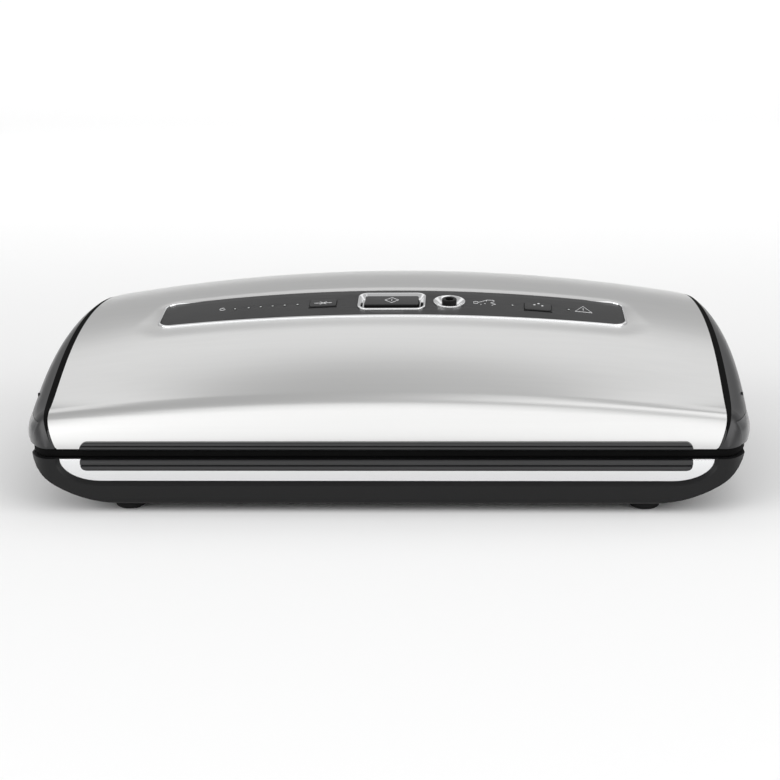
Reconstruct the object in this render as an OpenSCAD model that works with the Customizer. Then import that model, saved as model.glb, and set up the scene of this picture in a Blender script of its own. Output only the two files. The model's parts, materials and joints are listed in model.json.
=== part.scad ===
// Countertop vacuum sealer: a boat-shaped base with a heated seal bar and a vacuum channel, and a domed
// steel lid that carries the controls, the pump and the gasket. X runs right, Y runs back, Z runs up.
// The origin is on the table, under the middle of the footprint.

/* [Body] */
// Width across the end caps
body_w = 420; // [400:1:440]
// Depth from the front band to the back wall
body_d = 232; // [224:1:244]
// Height from the table to the crown of the lid
body_h = 104; // [100:0.5:112]
// Height of the plane where the lid meets the base
part_z = 33; // [32:0.5:35]
// Gap between the closed lid and the base
part_gap = 0.6; // [0.5:0.1:0.8]
// Radius of the gentle curve of the two sides in plan
side_r = 900; // [800:10:1400]
// Front corner, measured across the width
corner_w = 16; // [13:1:22]
// Front corner, measured along the depth
corner_d = 36; // [32:1:42]
// Rear corner, measured across the width
rear_corner_w = 30; // [24:1:36]
// Rear corner, measured along the depth
rear_corner_d = 34; // [26:1:40]

/* [Lid] */
// Crown radius of the lid from side to side
crown_r = 1120; // [950:10:1400]
// Crown radius of the lid from front to back
dome_r = 300; // [270:5:340]
// Place of the highest point, behind the middle
dome_y = 45; // [35:1:55]
// Radius of the rolled front edge
front_r = 60; // [45:1:90]
// Depth of the rolled front edge
roll_d = 10.5; // [9:0.5:14]
// Radius of the rolled back edge
back_r = 22; // [16:1:28]
// Thickness of the steel sheet
skin_t = 0.8; // [0.6:0.1:1.2]
// Height of the glossy band between the steel and the parting plane
band_h = 5; // [4:0.5:6]
// Set-back of the glossy band from the faces above it
band_in = 1.2; // [0.8:0.1:1.8]
// Width of the end caps in plan, at their widest
cap_w = 14.3; // [12.5:0.1:15]
// Radius of the gentle curve of the two edges of the steel
steel_side_r = 1900; // [1500:50:2600]
// Set-back of the lid and the fascia behind the base band
face_in = 2.5; // [1.5:0.25:3.5]
// Wall of the lid frame
frame_t = 3; // [2.5:0.5:4]
// Thickness of the lid liner
liner_t = 2.7; // [2:0.1:3.2]

/* [Base] */
// Height of the feet
foot_h = 5; // [4:0.5:7]
// Radius of the feet
foot_r = 9.2; // [7:0.2:11]
// Place of the feet, in from the sides
foot_in = 60; // [58:1:90]
// Place of the front feet, behind the front
foot_front = 15; // [15:1:36]
// Wall of the base shell
wall_t = 3; // [2.5:0.5:4]
// Sweep of the base ends, measured across the width
end_sweep = 64; // [60:1:66]
// How far above the parting plane the sweep of the ends starts
sweep_rise = 12; // [9:0.5:13]
// Thickness of the deck
deck_t = 3; // [2.5:0.5:4]
// Height of the bright fascia
fascia_h = 13.2; // [11:0.2:15]
// Thickness of the fascia sheet
fascia_t = 1; // [0.6:0.1:1.4]
// Half length of the straight lower edge of the fascia
fascia_x = 165; // [150:1:175]

/* [Grips] */
// Length of the two grip strips
grip_l = 352; // [300:1:370]
// Height of the lower grip strip
grip_h = 6.4; // [5:0.2:8]
// Height of the upper grip strip
lip_h = 4.5; // [3.5:0.25:6]
// How far the grips stand out from the fascia
grip_out = 3; // [2:0.25:4]
// Radius of the rounded ends of the grips
grip_r = 4; // [2:0.25:4.4]

/* [Sealing] */
// Length of the seal bar
seal_l = 312; // [280:1:325]
// Width of the seal bar
seal_w = 7; // [5:0.5:9]
// Place of the seal bar behind the front
seal_in = 16; // [14:0.5:17]
// Length of the vacuum channel
channel_l = 300; // [260:1:310]
// Width of the vacuum channel
channel_w = 44; // [36:1:48]
// Place of the middle of the vacuum channel behind the front
channel_in = 56; // [54:0.5:58]
// Depth of the vacuum channel
channel_deep = 15; // [12:0.5:17]
// Width of the gaskets
gasket_w = 6; // [4:0.5:7]

/* [Controls] */
// Length of the control panel
panel_l = 286; // [260:1:296]
// Width of the control panel at its middle
panel_d = 41; // [36:1:46]
// How much narrower the panel is at its ends
panel_bow = 4; // [2:0.5:6]
// How far the ends of the panel slant
panel_slant = 0.5; // [0:0.5:8]
// Corner radius of the control panel
panel_r = 8; // [5:0.5:10]
// Place of the panel behind the middle
panel_y = -1.5; // [-4:0.5:3]
// Width of the chrome edge round the panel
bezel_w = 1.6; // [1:0.1:2.4]
// Length of the start key
key_l = 33; // [28:0.5:36]
// Width of the start key
key_d = 14.5; // [12:0.5:16]
// Length of the two flat keys
flat_key_l = 17; // [14:0.5:20]
// Width of the two flat keys
flat_key_d = 12; // [9:0.5:13]
// Travel of the keys
key_travel = 1; // [0.6:0.1:1.4]
// Inner radius of the accessory port
port_bore_r = 2.4; // [2:0.1:3]
// Radius of the dish round the accessory port
port_dish_r = 9.9; // [8:0.1:11]
// Place of the accessory port, right of the middle
port_x = 35.5; // [35:0.5:38]

/* [Latch and hinge] */
// Travel of the release buttons
latch_travel = 2.5; // [2:0.1:2.5]
// Length of the release buttons
latch_l = 30; // [26:0.5:32]
// Height of the release buttons, as a share of the end caps there
latch_share = 0.8; // [0.7:0.01:0.82]
// How far the release buttons stand out
latch_out = 1.8; // [1:0.1:2.5]
// Radius of the hinge pins
pin_r = 2; // [1.6:0.1:2.2]
// Place of the hinges, in from the sides
hinge_in = 60; // [50:1:80]
// Width of the lid knuckles
knuckle_w = 14; // [10:0.5:16]
// Thickness of the base ears
ear_w = 5.5; // [4:0.5:7]

/* [Hidden] */
run_gap = 0.3;
bore_gap = 0.05;
over = 1;
corner_n = 8;
side_n = 10;
smooth = 64;
big = 400;

lid_low = part_z + part_gap/2;
base_top = part_z - part_gap/2;
steel_low = part_z + band_h;
liner_top = lid_low + liner_t;
widest_y = -body_d/2 + corner_d;
lid_front = -body_d/2 + face_in;
lid_back = body_d/2 - face_in + 0.5;
foot_rear = 32;
foot_x = body_w/2 - foot_in;
foot_y = body_d/2 - foot_front;
foot_back = body_d/2 - foot_rear;
seal_y = body_d/2 - seal_in;
channel_y = body_d/2 - channel_in;

// Hinge axis: close to the lower back edge of the lid, so the lid needs no trough to swing in
hinge_x = body_w/2 - hinge_in;
hinge_y = lid_back - 2;
hinge_z = part_z + 4.5;
knuckle_r = pin_r + 3;
hinge_clear = 0.5;

// Panel plane: tilted as the dome is under the middle of the panel
panel_tilt = asin((dome_y - panel_y)/dome_r);
panel_sink = 0.5;
panel_t = 2.5;
button_x = -42.5;
food_x = 90;
led_r = 0.9;
led_xs = [-97.5, -89, -81.5, -74, -66.5, -58.5, 74.5, 109];
key_rise = 0.6;
frame_rim = 4.5;
frame_d = 27;
frame_r = 6;
frame_up = 0.4;
frame_deep = 1.8;
rim_w = 1;
rim_foot = 1.5;

// Pump side of the lid
pad_h = 4;
motor_r = 14;
motor_l = 46;
saddle_t = 2;
pump_y = panel_y;
pump_z = liner_top + pad_h + saddle_t + motor_r;
pump_w = 38;
pump_d = 36;
pump_h = 28;
pump_end = port_x + pump_w/2;
trafo_x = -95;
trafo_y = body_d/2 - 64;

// Latch: an arm runs inboard from each button to a tongue that hangs through the liner
tongue_in = 22.5;
tongue_x = body_w/2 - tongue_in;
tongue_t = 2.5;
tongue_w = 10;
tongue_y = widest_y - 9;
tongue_low = part_z - 11;
arm_z = steel_low + 1;
arm_h = 4;
nose = 2.5;

// ---- Shared forms ----

// Points along part of an ellipse
function arc(c, ax, ay, a0, a1, n) =
    [for (i = [0:n]) let (a = a0 + (a1 - a0)*i/n) [c[0] + ax*cos(a), c[1] + ay*sin(a)]];

// Half width of the body at depth y
function side_x(y, inset) = body_w/2 - inset - pow(y - widest_y, 2)/(2*side_r);

// Right half of a plan outline, from the front corner to the rear corner
function half_outline(inset, y0, y1, fw, fd, rw, rd) =
    let (ys = y0 + fd, ye = y1 - rd, xs = side_x(ys, inset), xe = side_x(ye, inset),
        lean = (ye - widest_y)/side_r)
    concat(
        arc([xs - fw, ys], fw, fd, -90, 0, corner_n),
        [for (i = [1:side_n]) let (y = ys + (ye - ys)*i/side_n) [side_x(y, inset), y]],
        [for (i = [1:corner_n]) let (a = 90*i/corner_n)
            [xe - rw + rw*cos(a) - lean*rd*sin(a), ye + rd*sin(a)]]);

function mirrored(pts) = [for (i = [len(pts) - 1:-1:0]) [-pts[i][0], pts[i][1]]];

// Outline of the whole body, drawn in by inset and cut back by front and back
function body_half(inset, front = 0, back = 0) =
    half_outline(inset, -body_d/2 + inset + front, body_d/2 - inset - back,
        max(corner_w - inset, 3), max(corner_d - inset, 6),
        max(rear_corner_w - inset, 6), max(rear_corner_d - inset, 6));

module outline(inset, front = 0, back = 0) {
    half = body_half(inset, front, back);
    polygon(concat(half, mirrored(half)));
}

module slab(z0, z1) {
    translate([0, 0, z0]) linear_extrude(z1 - z0) children();
}

// Extrudes a drawing of Y and Z along X
module along_x(l) {
    rotate([90, 0, 90]) linear_extrude(l, center = true) children();
}

// Extrudes a drawing of X and Z along Y
module along_y(l) {
    rotate([90, 0, 0]) linear_extrude(l, center = true) children();
}

// Half width of the lid at depth y, with its two corners
lid_ys = lid_front + corner_d;
lid_ye = lid_back - rear_corner_d;
function front_t(y) = max(0, (lid_ys - y)/corner_d);
function back_t(y) = max(0, (y - lid_ye)/rear_corner_d);
function round_off(t) = sqrt(max(0, 1 - t*t));
function lid_x(y) = side_x(min(max(y, lid_ys), lid_ye), 0)
    - corner_w*(1 - round_off(front_t(y)))
    - rear_corner_w*(1 - round_off(back_t(y)))
    - (lid_ye - widest_y)/side_r*max(0, y - lid_ye);

// Half width of the steel sheet: its own tight corners in front, and a thin edge of the end caps behind
cap_thin = 0.8;
steel_corner_w = 6;
steel_corner_d = 8;
function steel_side(y) = body_w/2 - cap_w - pow(y - widest_y, 2)/(2*steel_side_r);
function steel_x(y) = y < lid_ye
    ? min(lid_x(y) - cap_thin, steel_side(y)
        - steel_corner_w*(1 - round_off(max(0, (lid_front + steel_corner_d - y)/steel_corner_d))))
    : lid_x(y) - max(cap_thin, (lid_x(lid_ye) - steel_side(lid_ye))*round_off(back_t(y)));

// Dome: an arc from front to back, crowned from side to side. The crown fades out towards the straight front
// edge and down the back wall.
fade_l = 18;
function crown_drop(x) = crown_r - sqrt(pow(crown_r, 2) - x*x);
function dome_arc(y) = body_h - dome_r + sqrt(pow(dome_r, 2) - pow(y - dome_y, 2));
function front_fade(y) = 1 - exp((lid_front - y)/fade_l);
function dome_z(x, y) = dome_arc(y) - crown_drop(x)*front_fade(y);

// The rolled front edge is an arc through the lower edge of the steel and the crease
roll_a = [lid_front, steel_low];
roll_b = [lid_front + roll_d, dome_arc(lid_front + roll_d)];
roll_chord = norm(roll_b - roll_a);
roll_dir = (roll_b - roll_a)/roll_chord;
roll_c = (roll_a + roll_b)/2 + [roll_dir[1], -roll_dir[0]]*sqrt(pow(front_r, 2) - pow(roll_chord/2, 2));
roll_turn = asin(roll_chord/2/front_r);
roll_mid = atan2(roll_dir[0], -roll_dir[1]);

// The rolled back edge leaves the dome at a shallow crease and runs down to the back wall
back_turn = 82;
back_c = [lid_back - back_r, dome_arc(lid_back - back_r*(1 - cos(back_turn))) - back_r*sin(back_turn)];

// Side profile of the lid: depth, height and share of the crown, from the front edge to the foot of the back
roll_n = 6;
dome_n = 14;
back_n = 6;
profile = concat(
    [for (i = [0:roll_n - 1]) let (a = roll_mid + roll_turn - 2*roll_turn*i/roll_n,
        y = roll_c[0] + front_r*cos(a)) [y, roll_c[1] + front_r*sin(a), front_fade(y)]],
    [for (i = [0:dome_n]) let (y = roll_b[0] + (back_c[0] + back_r*cos(back_turn) - roll_b[0])*i/dome_n)
        [y, dome_arc(y), front_fade(y)]],
    [for (i = [1:back_n]) let (a = back_turn*(1 - i/back_n))
        [back_c[0] + back_r*cos(a), back_c[1] + back_r*sin(a), 1]],
    [[lid_back, steel_low, 0]]);

// A point of the lid surface: row k of the profile, share u of the half width of the steel
function lid_point(k, u) = let (p = profile[k], x = u*steel_x(p[0])) [x, p[0], p[1] - p[2]*crown_drop(x)];
function lid_normal(k, u) = let (m = len(profile) - 1, e = 0.02,
    a = lid_point(min(k + 1, m), u) - lid_point(max(k - 1, 0), u),
    b = lid_point(k, u + e) - lid_point(k, u - e),
    n = cross(b, a)) n/norm(n);

// A layer of the dome as turned surfaces, for what is let into it away from its edges
module dome(off) {
    swing = 12;
    translate([0, dome_y, body_h - crown_r])
        rotate([90, 0, 0]) rotate([0, 0, 90 - swing]) rotate_extrude(angle = 2*swing, $fn = 720)
            intersection() {
                translate([crown_r - dome_r, 0]) circle(dome_r - off, $fn = 240);
                translate([crown_r - body_h, -body_d]) square([body_h, 2*body_d]);
            }
}

// Panel outline: a straight back edge, a bowed front edge and slanted ends
module panel_shape(grow) {
    l = panel_l/2 + grow;
    f = -panel_d/2 - grow;
    b = panel_d/2 + grow;
    r = panel_r + grow;
    n = 12;
    bow = [for (i = [-n:n]) let (t = i/n) [t*(l - r), f + panel_bow*t*t]];
    polygon(concat(bow,
        arc([l - r, f + panel_bow + r], r, r, -84, -8, 5),
        arc([l - r - panel_slant, b - r], r, r, 12, 90, 5),
        arc([-l + r + panel_slant, b - r], r, r, 90, 168, 5),
        arc([-l + r, f + panel_bow + r], r, r, 188, 264, 5)));
}

module at_panel() {
    translate([0, panel_y, 0]) children();
}

// A layer of the dome between two depths under its surface
module dome_layer(top, bottom, z0, z1) {
    difference() {
        intersection() {
            dome(top);
            slab(z0, z1) children();
        }
        dome(bottom);
    }
}

// A frame on the panel at x, with Z along the panel's own normal and 0 on the dome
module on_panel(x) {
    translate([x, panel_y, dome_z(x, panel_y)]) rotate([panel_tilt, asin(x/crown_r), 0]) children();
}

module rounded_bar(l, w, r) {
    for (s = [-1, 1]) translate([s*(l/2 - r), 0]) {
        translate([0, w/2 - r]) circle(r, $fn = smooth);
        translate([0, r - w/2]) circle(r, $fn = smooth);
    }
    square([l - 2*r, w], center = true);
    square([l, w - 2*r], center = true);
}

module racetrack(l, w) {
    for (s = [-1, 1]) translate([s*(l - w)/2, 0]) circle(w/2, $fn = smooth);
    square([l - w, w], center = true);
}

// ---- Base ----

floor_z = foot_h;
shell_top = base_top;
fascia_top = part_z - 1;
fascia_low = fascia_top - fascia_h;
ledge_w = 3;
deck_low = base_top - deck_t;
beam_d = 7;
deck_back = body_d/2 - wall_t - beam_d - run_gap;
screw_r = 1.5;
screw_head_r = 3;
boss_r = 4;
screw_in = 70;
screw_clear = 22;
screw_rear = 58;
screw_l = 15;
head_t = 1.7;
screw_spots = [for (s = [-1, 0, 1], y = [channel_w/2 - channel_y + screw_clear, body_d/2 - screw_rear])
    [s*(body_w/2 - screw_in), y]];

// Base seen from the front: a flat floor that sweeps up into both ends
module end_sweep_shape(inset) {
    cx = body_w/2 - end_sweep;
    top = part_z + sweep_rise;
    rise = top - floor_z;
    polygon(concat(
        [[-body_w/2 + inset, big/4]],
        arc([-cx, top], end_sweep - inset, rise - inset, 180, 270, 16),
        arc([cx, top], end_sweep - inset, rise - inset, 270, 360, 16),
        [[body_w/2 - inset, big/4]]));
}

// Base seen from the side: rounded lower edges
module side_sweep_shape(inset) {
    front = 4;
    back = 12;
    y = body_d/2 - inset;
    z = floor_z + inset;
    polygon(concat([[-y, big/4]], arc([-y + front, z + front], front, front, 180, 270, 5),
        arc([y - back, z + back], back, back, 270, 360, 8), [[y, big/4]]));
}

module base_form(inset, front, top) {
    intersection() {
        slab(floor_z, top) outline(inset, front);
        along_y(2*big) end_sweep_shape(inset);
        along_x(2*big) side_sweep_shape(inset);
    }
}

fascia_tip = 5.5;

// Fascia outline seen from the front
module fascia_shape(grow) {
    rx = body_w/2 - corner_w - fascia_x - fascia_tip;
    polygon(concat(
        [[-fascia_x - rx - grow, fascia_top + grow]],
        arc([-fascia_x, fascia_top], rx + grow, fascia_h + grow, 180, 270, 10),
        arc([fascia_x, fascia_top], rx + grow, fascia_h + grow, 270, 360, 10),
        [[fascia_x + rx + grow, fascia_top + grow]]));
}

fascia_y = -body_d/2 + face_in;

module fascia_pocket() {
    // flat seat of the fascia
    translate([0, fascia_y + fascia_t/2, 0]) along_y(fascia_t + 0.02) fascia_shape(0);
    // bevel of the band round it
    hull() {
        translate([0, fascia_y, 0]) along_y(0.02) fascia_shape(0);
        translate([0, fascia_y - face_in - over, 0]) along_y(0.02) fascia_shape(3.2);
    }
}

module hinge_axis(x, l, r) {
    translate([x, hinge_y, hinge_z]) rotate([0, 90, 0]) cylinder(h = l, r = r, center = true, $fn = smooth);
}

ear_x = knuckle_w/2 + run_gap + ear_w/2;

module ears() {
    for (s = [-1, 1], e = [-1, 1]) {
        x = s*hinge_x + e*ear_x;
        hinge_axis(x, ear_w, knuckle_r);
        translate([x - ear_w/2, hinge_y - knuckle_r, shell_top - 6])
            cube([ear_w, 2*knuckle_r, hinge_z - shell_top + 6]);
    }
}

module base_shell() {
    color("#232325") difference() {
        union() {
            difference() {
                base_form(0, 0, shell_top);
                base_form(wall_t, face_in + fascia_t, shell_top + over);
            }
            // ledge that carries the deck
            intersection() {
                slab(deck_low - 4, deck_low) difference() {
                    outline(wall_t - 0.5, face_in + fascia_t);
                    outline(wall_t + ledge_w, face_in + fascia_t);
                }
                base_form(wall_t - 0.5, 0, shell_top);
            }
            // beam along the back for the hinge ears
            intersection() {
                translate([-body_w, deck_back + run_gap, floor_z])
                    cube([2*body_w, beam_d + 1, shell_top - floor_z]);
                base_form(wall_t/2, 0, shell_top);
            }
            ears();
            // bosses for the screws that hold the deck
            for (p = screw_spots) translate([p[0], p[1], floor_z])
                cylinder(h = wall_t + 3, r = boss_r, $fn = smooth);
        }
        fascia_pocket();
        for (s = [-1, 1]) {
            hinge_axis(s*hinge_x, 2*ear_x + ear_w + 2*over, pin_r);
            hinge_axis(s*hinge_x, knuckle_w + 2*run_gap, knuckle_r + hinge_clear);
        }
        for (p = screw_spots) translate([p[0], p[1], floor_z - over]) {
            cylinder(h = 20, r = screw_r, $fn = smooth);
            cylinder(h = 2 + over, r = screw_head_r + 0.2, $fn = smooth);
        }
        for (x = [-1, 1], y = [-foot_y, foot_back]) translate([x*foot_x, y, floor_z - over]) {
            cylinder(h = wall_t + 2*over, r = foot_stem_r, $fn = smooth);
            cylinder(h = over + foot_seat, r = foot_r, $fn = smooth);
        }
        cord_place() {
            linear_extrude(3*wall_t + 2*beam_d, center = true) bush_shape(0);
            translate([0, 0, -over]) linear_extrude(over + bush_sink) bush_shape(2);
        }
    }
}

foot_stem_r = 3;
foot_flat = 6.5;
foot_side = foot_r - run_gap;
foot_seat = 1;

module foot(x, y) {
    color("#1b1b1c") translate([x, y, 0]) {
        rotate_extrude($fn = smooth) polygon([[0, 0], [foot_flat, 0], [foot_side - 0.5, 1.2], [foot_side, 3],
            [foot_side, foot_h + foot_seat], [0, foot_h + foot_seat]]);
        translate([0, 0, foot_h]) cylinder(h = foot_seat + wall_t, r = foot_stem_r - 0.02, $fn = smooth);
    }
}

module foot_front_left() foot(-foot_x, -foot_y);
module foot_front_right() foot(foot_x, -foot_y);
module foot_rear_left() foot(-foot_x, foot_back);
module foot_rear_right() foot(foot_x, foot_back);

seal_slot = 0.25;
seal_h = 7;
tape_t = 0.2;
pan_t = 2;
groove_deep = 3;

module at_channel() {
    translate([0, -channel_y, 0]) children();
}

module gasket_ring(grow) {
    difference() {
        racetrack(channel_l + 4 + 2*gasket_w + 2*grow, channel_w + 4 + 2*gasket_w + 2*grow);
        racetrack(channel_l + 4 - 2*grow, channel_w + 4 - 2*grow);
    }
}

latch_slot = [tongue_t + latch_travel + nose + 2.2, tongue_w + 4];

// Slot through which a tongue hangs, with its outboard edge on the keeper
module tongue_slot(s, z0, z1) {
    x0 = tongue_x - latch_travel - 0.8;
    translate([s > 0 ? x0 : -x0 - latch_slot[0], tongue_y - latch_slot[1]/2, z0])
        cube([latch_slot[0], latch_slot[1], z1 - z0]);
}

module base_deck() {
    color("#2b2c2e") difference() {
        union() {
            intersection() {
                slab(deck_low, base_top) outline(wall_t + run_gap/3, face_in + fascia_t);
                base_form(wall_t + run_gap/3, 0, base_top);
                translate([-body_w, -body_d, 0]) cube([2*body_w, body_d + deck_back, body_h]);
            }
            // trough under the seal bar
            slab(base_top - seal_h - pan_t, deck_low + 0.5) translate([0, -seal_y])
                square([seal_l + 2*pan_t, seal_w + 2*pan_t], center = true);
            for (p = screw_spots) translate([p[0], p[1], floor_z + wall_t + 3])
                cylinder(h = deck_low - floor_z - wall_t - 3 + 0.5, r = boss_r, $fn = smooth);
        }
        slab(base_top - channel_deep, base_top + over) at_channel() racetrack(channel_l, channel_w);
        slab(base_top - seal_h, base_top + over) translate([0, -seal_y])
            square([seal_l + 2*seal_slot, seal_w + 2*seal_slot], center = true);
        slab(base_top - groove_deep + 1, base_top + over) at_channel() gasket_ring(0.1);
        for (s = [-1, 1]) tongue_slot(s, deck_low - over, base_top + over);
        for (p = screw_spots) translate([p[0], p[1], floor_z])
            cylinder(h = deck_low - floor_z - 1, r = screw_r - 0.05, $fn = smooth);
    }
}

// Pan of the vacuum channel, hung under the opening of the deck
module channel_pan() {
    color("#2b2c2e") at_channel() difference() {
        slab(base_top - channel_deep - pan_t, deck_low) racetrack(channel_l + 2*pan_t, channel_w + 2*pan_t);
        slab(base_top - channel_deep, deck_low + over) racetrack(channel_l, channel_w);
    }
}

module front_fascia() {
    color("#e6e8ea") translate([0, fascia_y + fascia_t/2, 0]) along_y(fascia_t) fascia_shape(0);
}

// Strip with two ridges and a groove between them, its back top edge at y1, drawn along X
module grip(z0, h, y1, top_round) {
    y0 = fascia_y - grip_out;
    nose_r = 0.8;
    groove = 1.2;
    intersection() {
        translate([0, fascia_y, 0]) along_y(4*grip_out) intersection() {
            translate([-grip_l/2, z0]) square([grip_l, h]);
            translate([0, top_round ? z0 : z0 + h]) rounded_bar(grip_l, 2*h, grip_r);
        }
        along_x(grip_l + 2*over) polygon([[fascia_y, z0], [y0 + nose_r, z0], [y0, z0 + nose_r],
            [y0, z0 + 0.4*h], [y0 + groove, z0 + h/2], [y0, z0 + 0.6*h], [y0, z0 + h - nose_r],
            [y0 + nose_r, z0 + h], [y1, z0 + h]]);
    }
}

module lower_grip() {
    color("#3a3b3d") grip(fascia_top - grip_h, grip_h, fascia_y, false);
}

module seal_bar() {
    color("#8d8f92") slab(base_top - seal_h, base_top - 0.6) translate([0, -seal_y])
        square([seal_l, seal_w], center = true);
}

module heating_wire() {
    color("#b9a37c") slab(base_top - 0.6, base_top - 0.3) translate([0, -seal_y])
        square([seal_l - 8, 3], center = true);
}

module release_tape() {
    color("#8a5f3a") slab(base_top - 0.3, base_top - 0.3 + tape_t) translate([0, -seal_y])
        square([seal_l, seal_w], center = true);
}

module lower_gasket() {
    color("#4a4a4c") slab(base_top - groove_deep + 1, part_z - run_gap/2) at_channel() gasket_ring(0);
}

tray_gap = 0.3;
tray_t = 1.6;

module drip_tray() {
    l = channel_l - 2*tray_gap;
    w = channel_w - 2*tray_gap;
    color("#5b5e62") at_channel() difference() {
        slab(base_top - channel_deep, base_top - 1) racetrack(l, w);
        slab(base_top - channel_deep + tray_t, base_top) racetrack(l - 2*tray_t, w - 2*tray_t);
    }
}

keeper_t = 2.5;
keeper_in = 0.3;
keeper_w = 4.8;

module latch_keepers() {
    x0 = tongue_x + tongue_t + nose + keeper_in + keeper_w/2;
    color("#b4b7ba") for (s = [-1, 1])
        translate([s*x0, tongue_y, deck_low - keeper_t/2])
            cube([keeper_w, latch_slot[1] + 4, keeper_t], center = true);
}

module hinge_pins() {
    color("#c3c6c9") for (s = [-1, 1]) hinge_axis(s*hinge_x, 2*ear_x + ear_w, pin_r);
}

module base_screws() {
    color("#9a9da0") for (p = screw_spots) translate([p[0], p[1], 0]) {
        translate([0, 0, floor_z + run_gap]) cylinder(h = head_t, r = screw_head_r, $fn = 32);
        translate([0, 0, floor_z + run_gap + head_t]) cylinder(h = screw_l, r = screw_r - 0.05, $fn = 32);
    }
}

bush_r = 5;
cord_r = 3.2;
bush_proud = grip_out - face_in;
bush_sink = 1;
bush_in = 100;
bush_corner = 1.5;
bush_x = bush_in - body_w/2;
bush_z = part_z - 8.5;

module cord_place() {
    translate([bush_x, body_d/2, bush_z]) rotate([90, 0, 0]) children();
}

// The bush is square, so that the cord can't turn it
module bush_shape(grow) {
    rounded_bar(2*(bush_r + grow), 2*(bush_r + grow), bush_corner + grow);
}

module cord_bush() {
    color("#1b1b1c") cord_place() difference() {
        union() {
            translate([0, 0, -bush_proud]) linear_extrude(bush_proud + bush_sink) bush_shape(2);
            linear_extrude(wall_t + beam_d) bush_shape(0);
        }
        cylinder(h = 60, r = cord_r, center = true, $fn = smooth);
    }
}

// ---- Lid ----

module hinge_notch() {
    w = 2*ear_x + ear_w + 2*hinge_clear;
    for (s = [-1, 1]) {
        hinge_axis(s*hinge_x, w, knuckle_r + hinge_clear);
        translate([s*hinge_x - w/2, hinge_y - knuckle_r - hinge_clear, part_z - over])
            cube([w, big, hinge_z - part_z + over]);
    }
}

skin_cols = 24;

// The steel sheet: a grid of points over the lid surface and the same grid drawn in by the sheet's thickness
module lid_sheet() {
    m = len(profile);
    n = skin_cols + 1;
    us = [for (i = [0:skin_cols]) 2*i/skin_cols - 1];
    top = [for (k = [0:m - 1]) for (u = us) lid_point(k, u)];
    low = [for (k = [0:m - 1]) for (u = us) let (p = lid_point(k, u) - skin_t*lid_normal(k, u))
        [p[0], p[1], k == 0 || k == m - 1 ? steel_low : p[2]]];
    o = len(top);
    skins = [for (k = [0:m - 2]) for (i = [0:n - 2])
        let (a = k*n + i, b = a + 1, c = a + n, d = c + 1)
        each [[a, c, b], [b, c, d], [o + a, o + b, o + c], [o + b, o + d, o + c]]];
    ends = [for (i = [0:n - 2]) let (a = i, b = (m - 1)*n + i)
        each [[a, a + 1, o + a], [a + 1, o + a + 1, o + a], [b, o + b, b + 1], [b + 1, o + b, o + b + 1]]];
    edges = [for (k = [0:m - 2]) let (a = k*n, c = a + n, b = a + n - 1, d = b + n)
        each [[a, o + a, c], [c, o + a, o + c], [b, d, o + b], [d, o + d, o + b]]];
    polyhedron(concat(top, low), concat(skins, ends, edges));
}

module lid_skin() {
    color("#c9cbcd") difference() {
        lid_sheet();
        at_panel() slab(body_h - 40, body_h + over) panel_shape(bezel_w + 0.1);
        hinge_notch();
    }
}

flange_w = 12;

module lid_frame() {
    back = body_d/2 - lid_back;
    color("#101011") difference() {
        union() {
            difference() {
                slab(lid_low, steel_low) outline(band_in, face_in, back);
                slab(lid_low - over, liner_top) outline(band_in + frame_t, face_in, back);
                slab(lid_low - over, steel_low + over) outline(flange_w, face_in, back);
                hinge_notch();
            }
            for (s = [-1, 1]) {
                hinge_axis(s*hinge_x, knuckle_w, knuckle_r);
                translate([s*hinge_x - knuckle_w/2, hinge_y - flange_w, liner_top])
                    cube([knuckle_w, flange_w, steel_low - liner_top]);
            }
            for (p = liner_spots) translate([p[0], p[1], steel_low - 0.5])
                cylinder(h = 6, r = boss_r, $fn = smooth);
        }
        for (s = [-1, 1]) {
            hinge_axis(s*hinge_x, knuckle_w + 2*over, pin_r + bore_gap);
            tongue_slot(s, lid_low - over, steel_low + over);
        }
        for (p = liner_spots) translate([p[0], p[1], lid_low])
            cylinder(h = 9, r = screw_r - 0.05, $fn = smooth);
    }
}

liner_clear = 12;
liner_front_x = seal_l/2 + liner_clear;
liner_back_xs = [for (t = [-3, -1, 1, 3]) t*body_w/12];
liner_head_t = 1.4;
liner_screw_l = 7;
liner_spots = concat([for (s = [-1, 1]) [s*liner_front_x, lid_front + flange_w - 3]],
    [for (x = liner_back_xs) [x, lid_back - flange_w + 3]]);

// One end cap: rounded sections carried along the edge of the steel
cap_section = [[0, 0.3], [0.3, 0.7], [0.52, 2.2], [0.82, 6], [1, 11]];
cap_low = 0.2;
cap_last = len(profile) - 3;

function cap_ring(k) =
    let (a = lid_point(k, 1), b = [lid_x(a[1]), a[1]], room = max(a[2] - steel_low - 1, 0)/12)
    concat(
        [for (q = cap_section)
            [a[0] + cap_low + (b[0] - a[0] - cap_low)*q[0], a[1], a[2] - q[1]*min(1, room)]],
        [[b[0], b[1], steel_low], [a[0] + cap_low, a[1], steel_low]]);

module cap_solid() {
    loft([for (k = [1:cap_last]) cap_ring(k)]);
}

latch_y = widest_y - latch_l/2 + 5;
latch_in = body_w/2 - 12;
latch_h = latch_share*(edge_z(latch_y - latch_l/2) - steel_low);
pocket_gap = 0.3;

// Height of the edge of the steel at depth y, and outer face of the end cap at depth y and height z
function edge_z(y) = lookup(y, [for (p = profile) [p[0], p[1] - p[2]*crown_drop(steel_x(p[0]))]]);
function cap_x(y, z) = let (a = steel_x(y) + cap_low)
    a + (lid_x(y) - a)*lookup(edge_z(y) - z, [for (q = cap_section) [q[1], q[0]]]);

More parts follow.
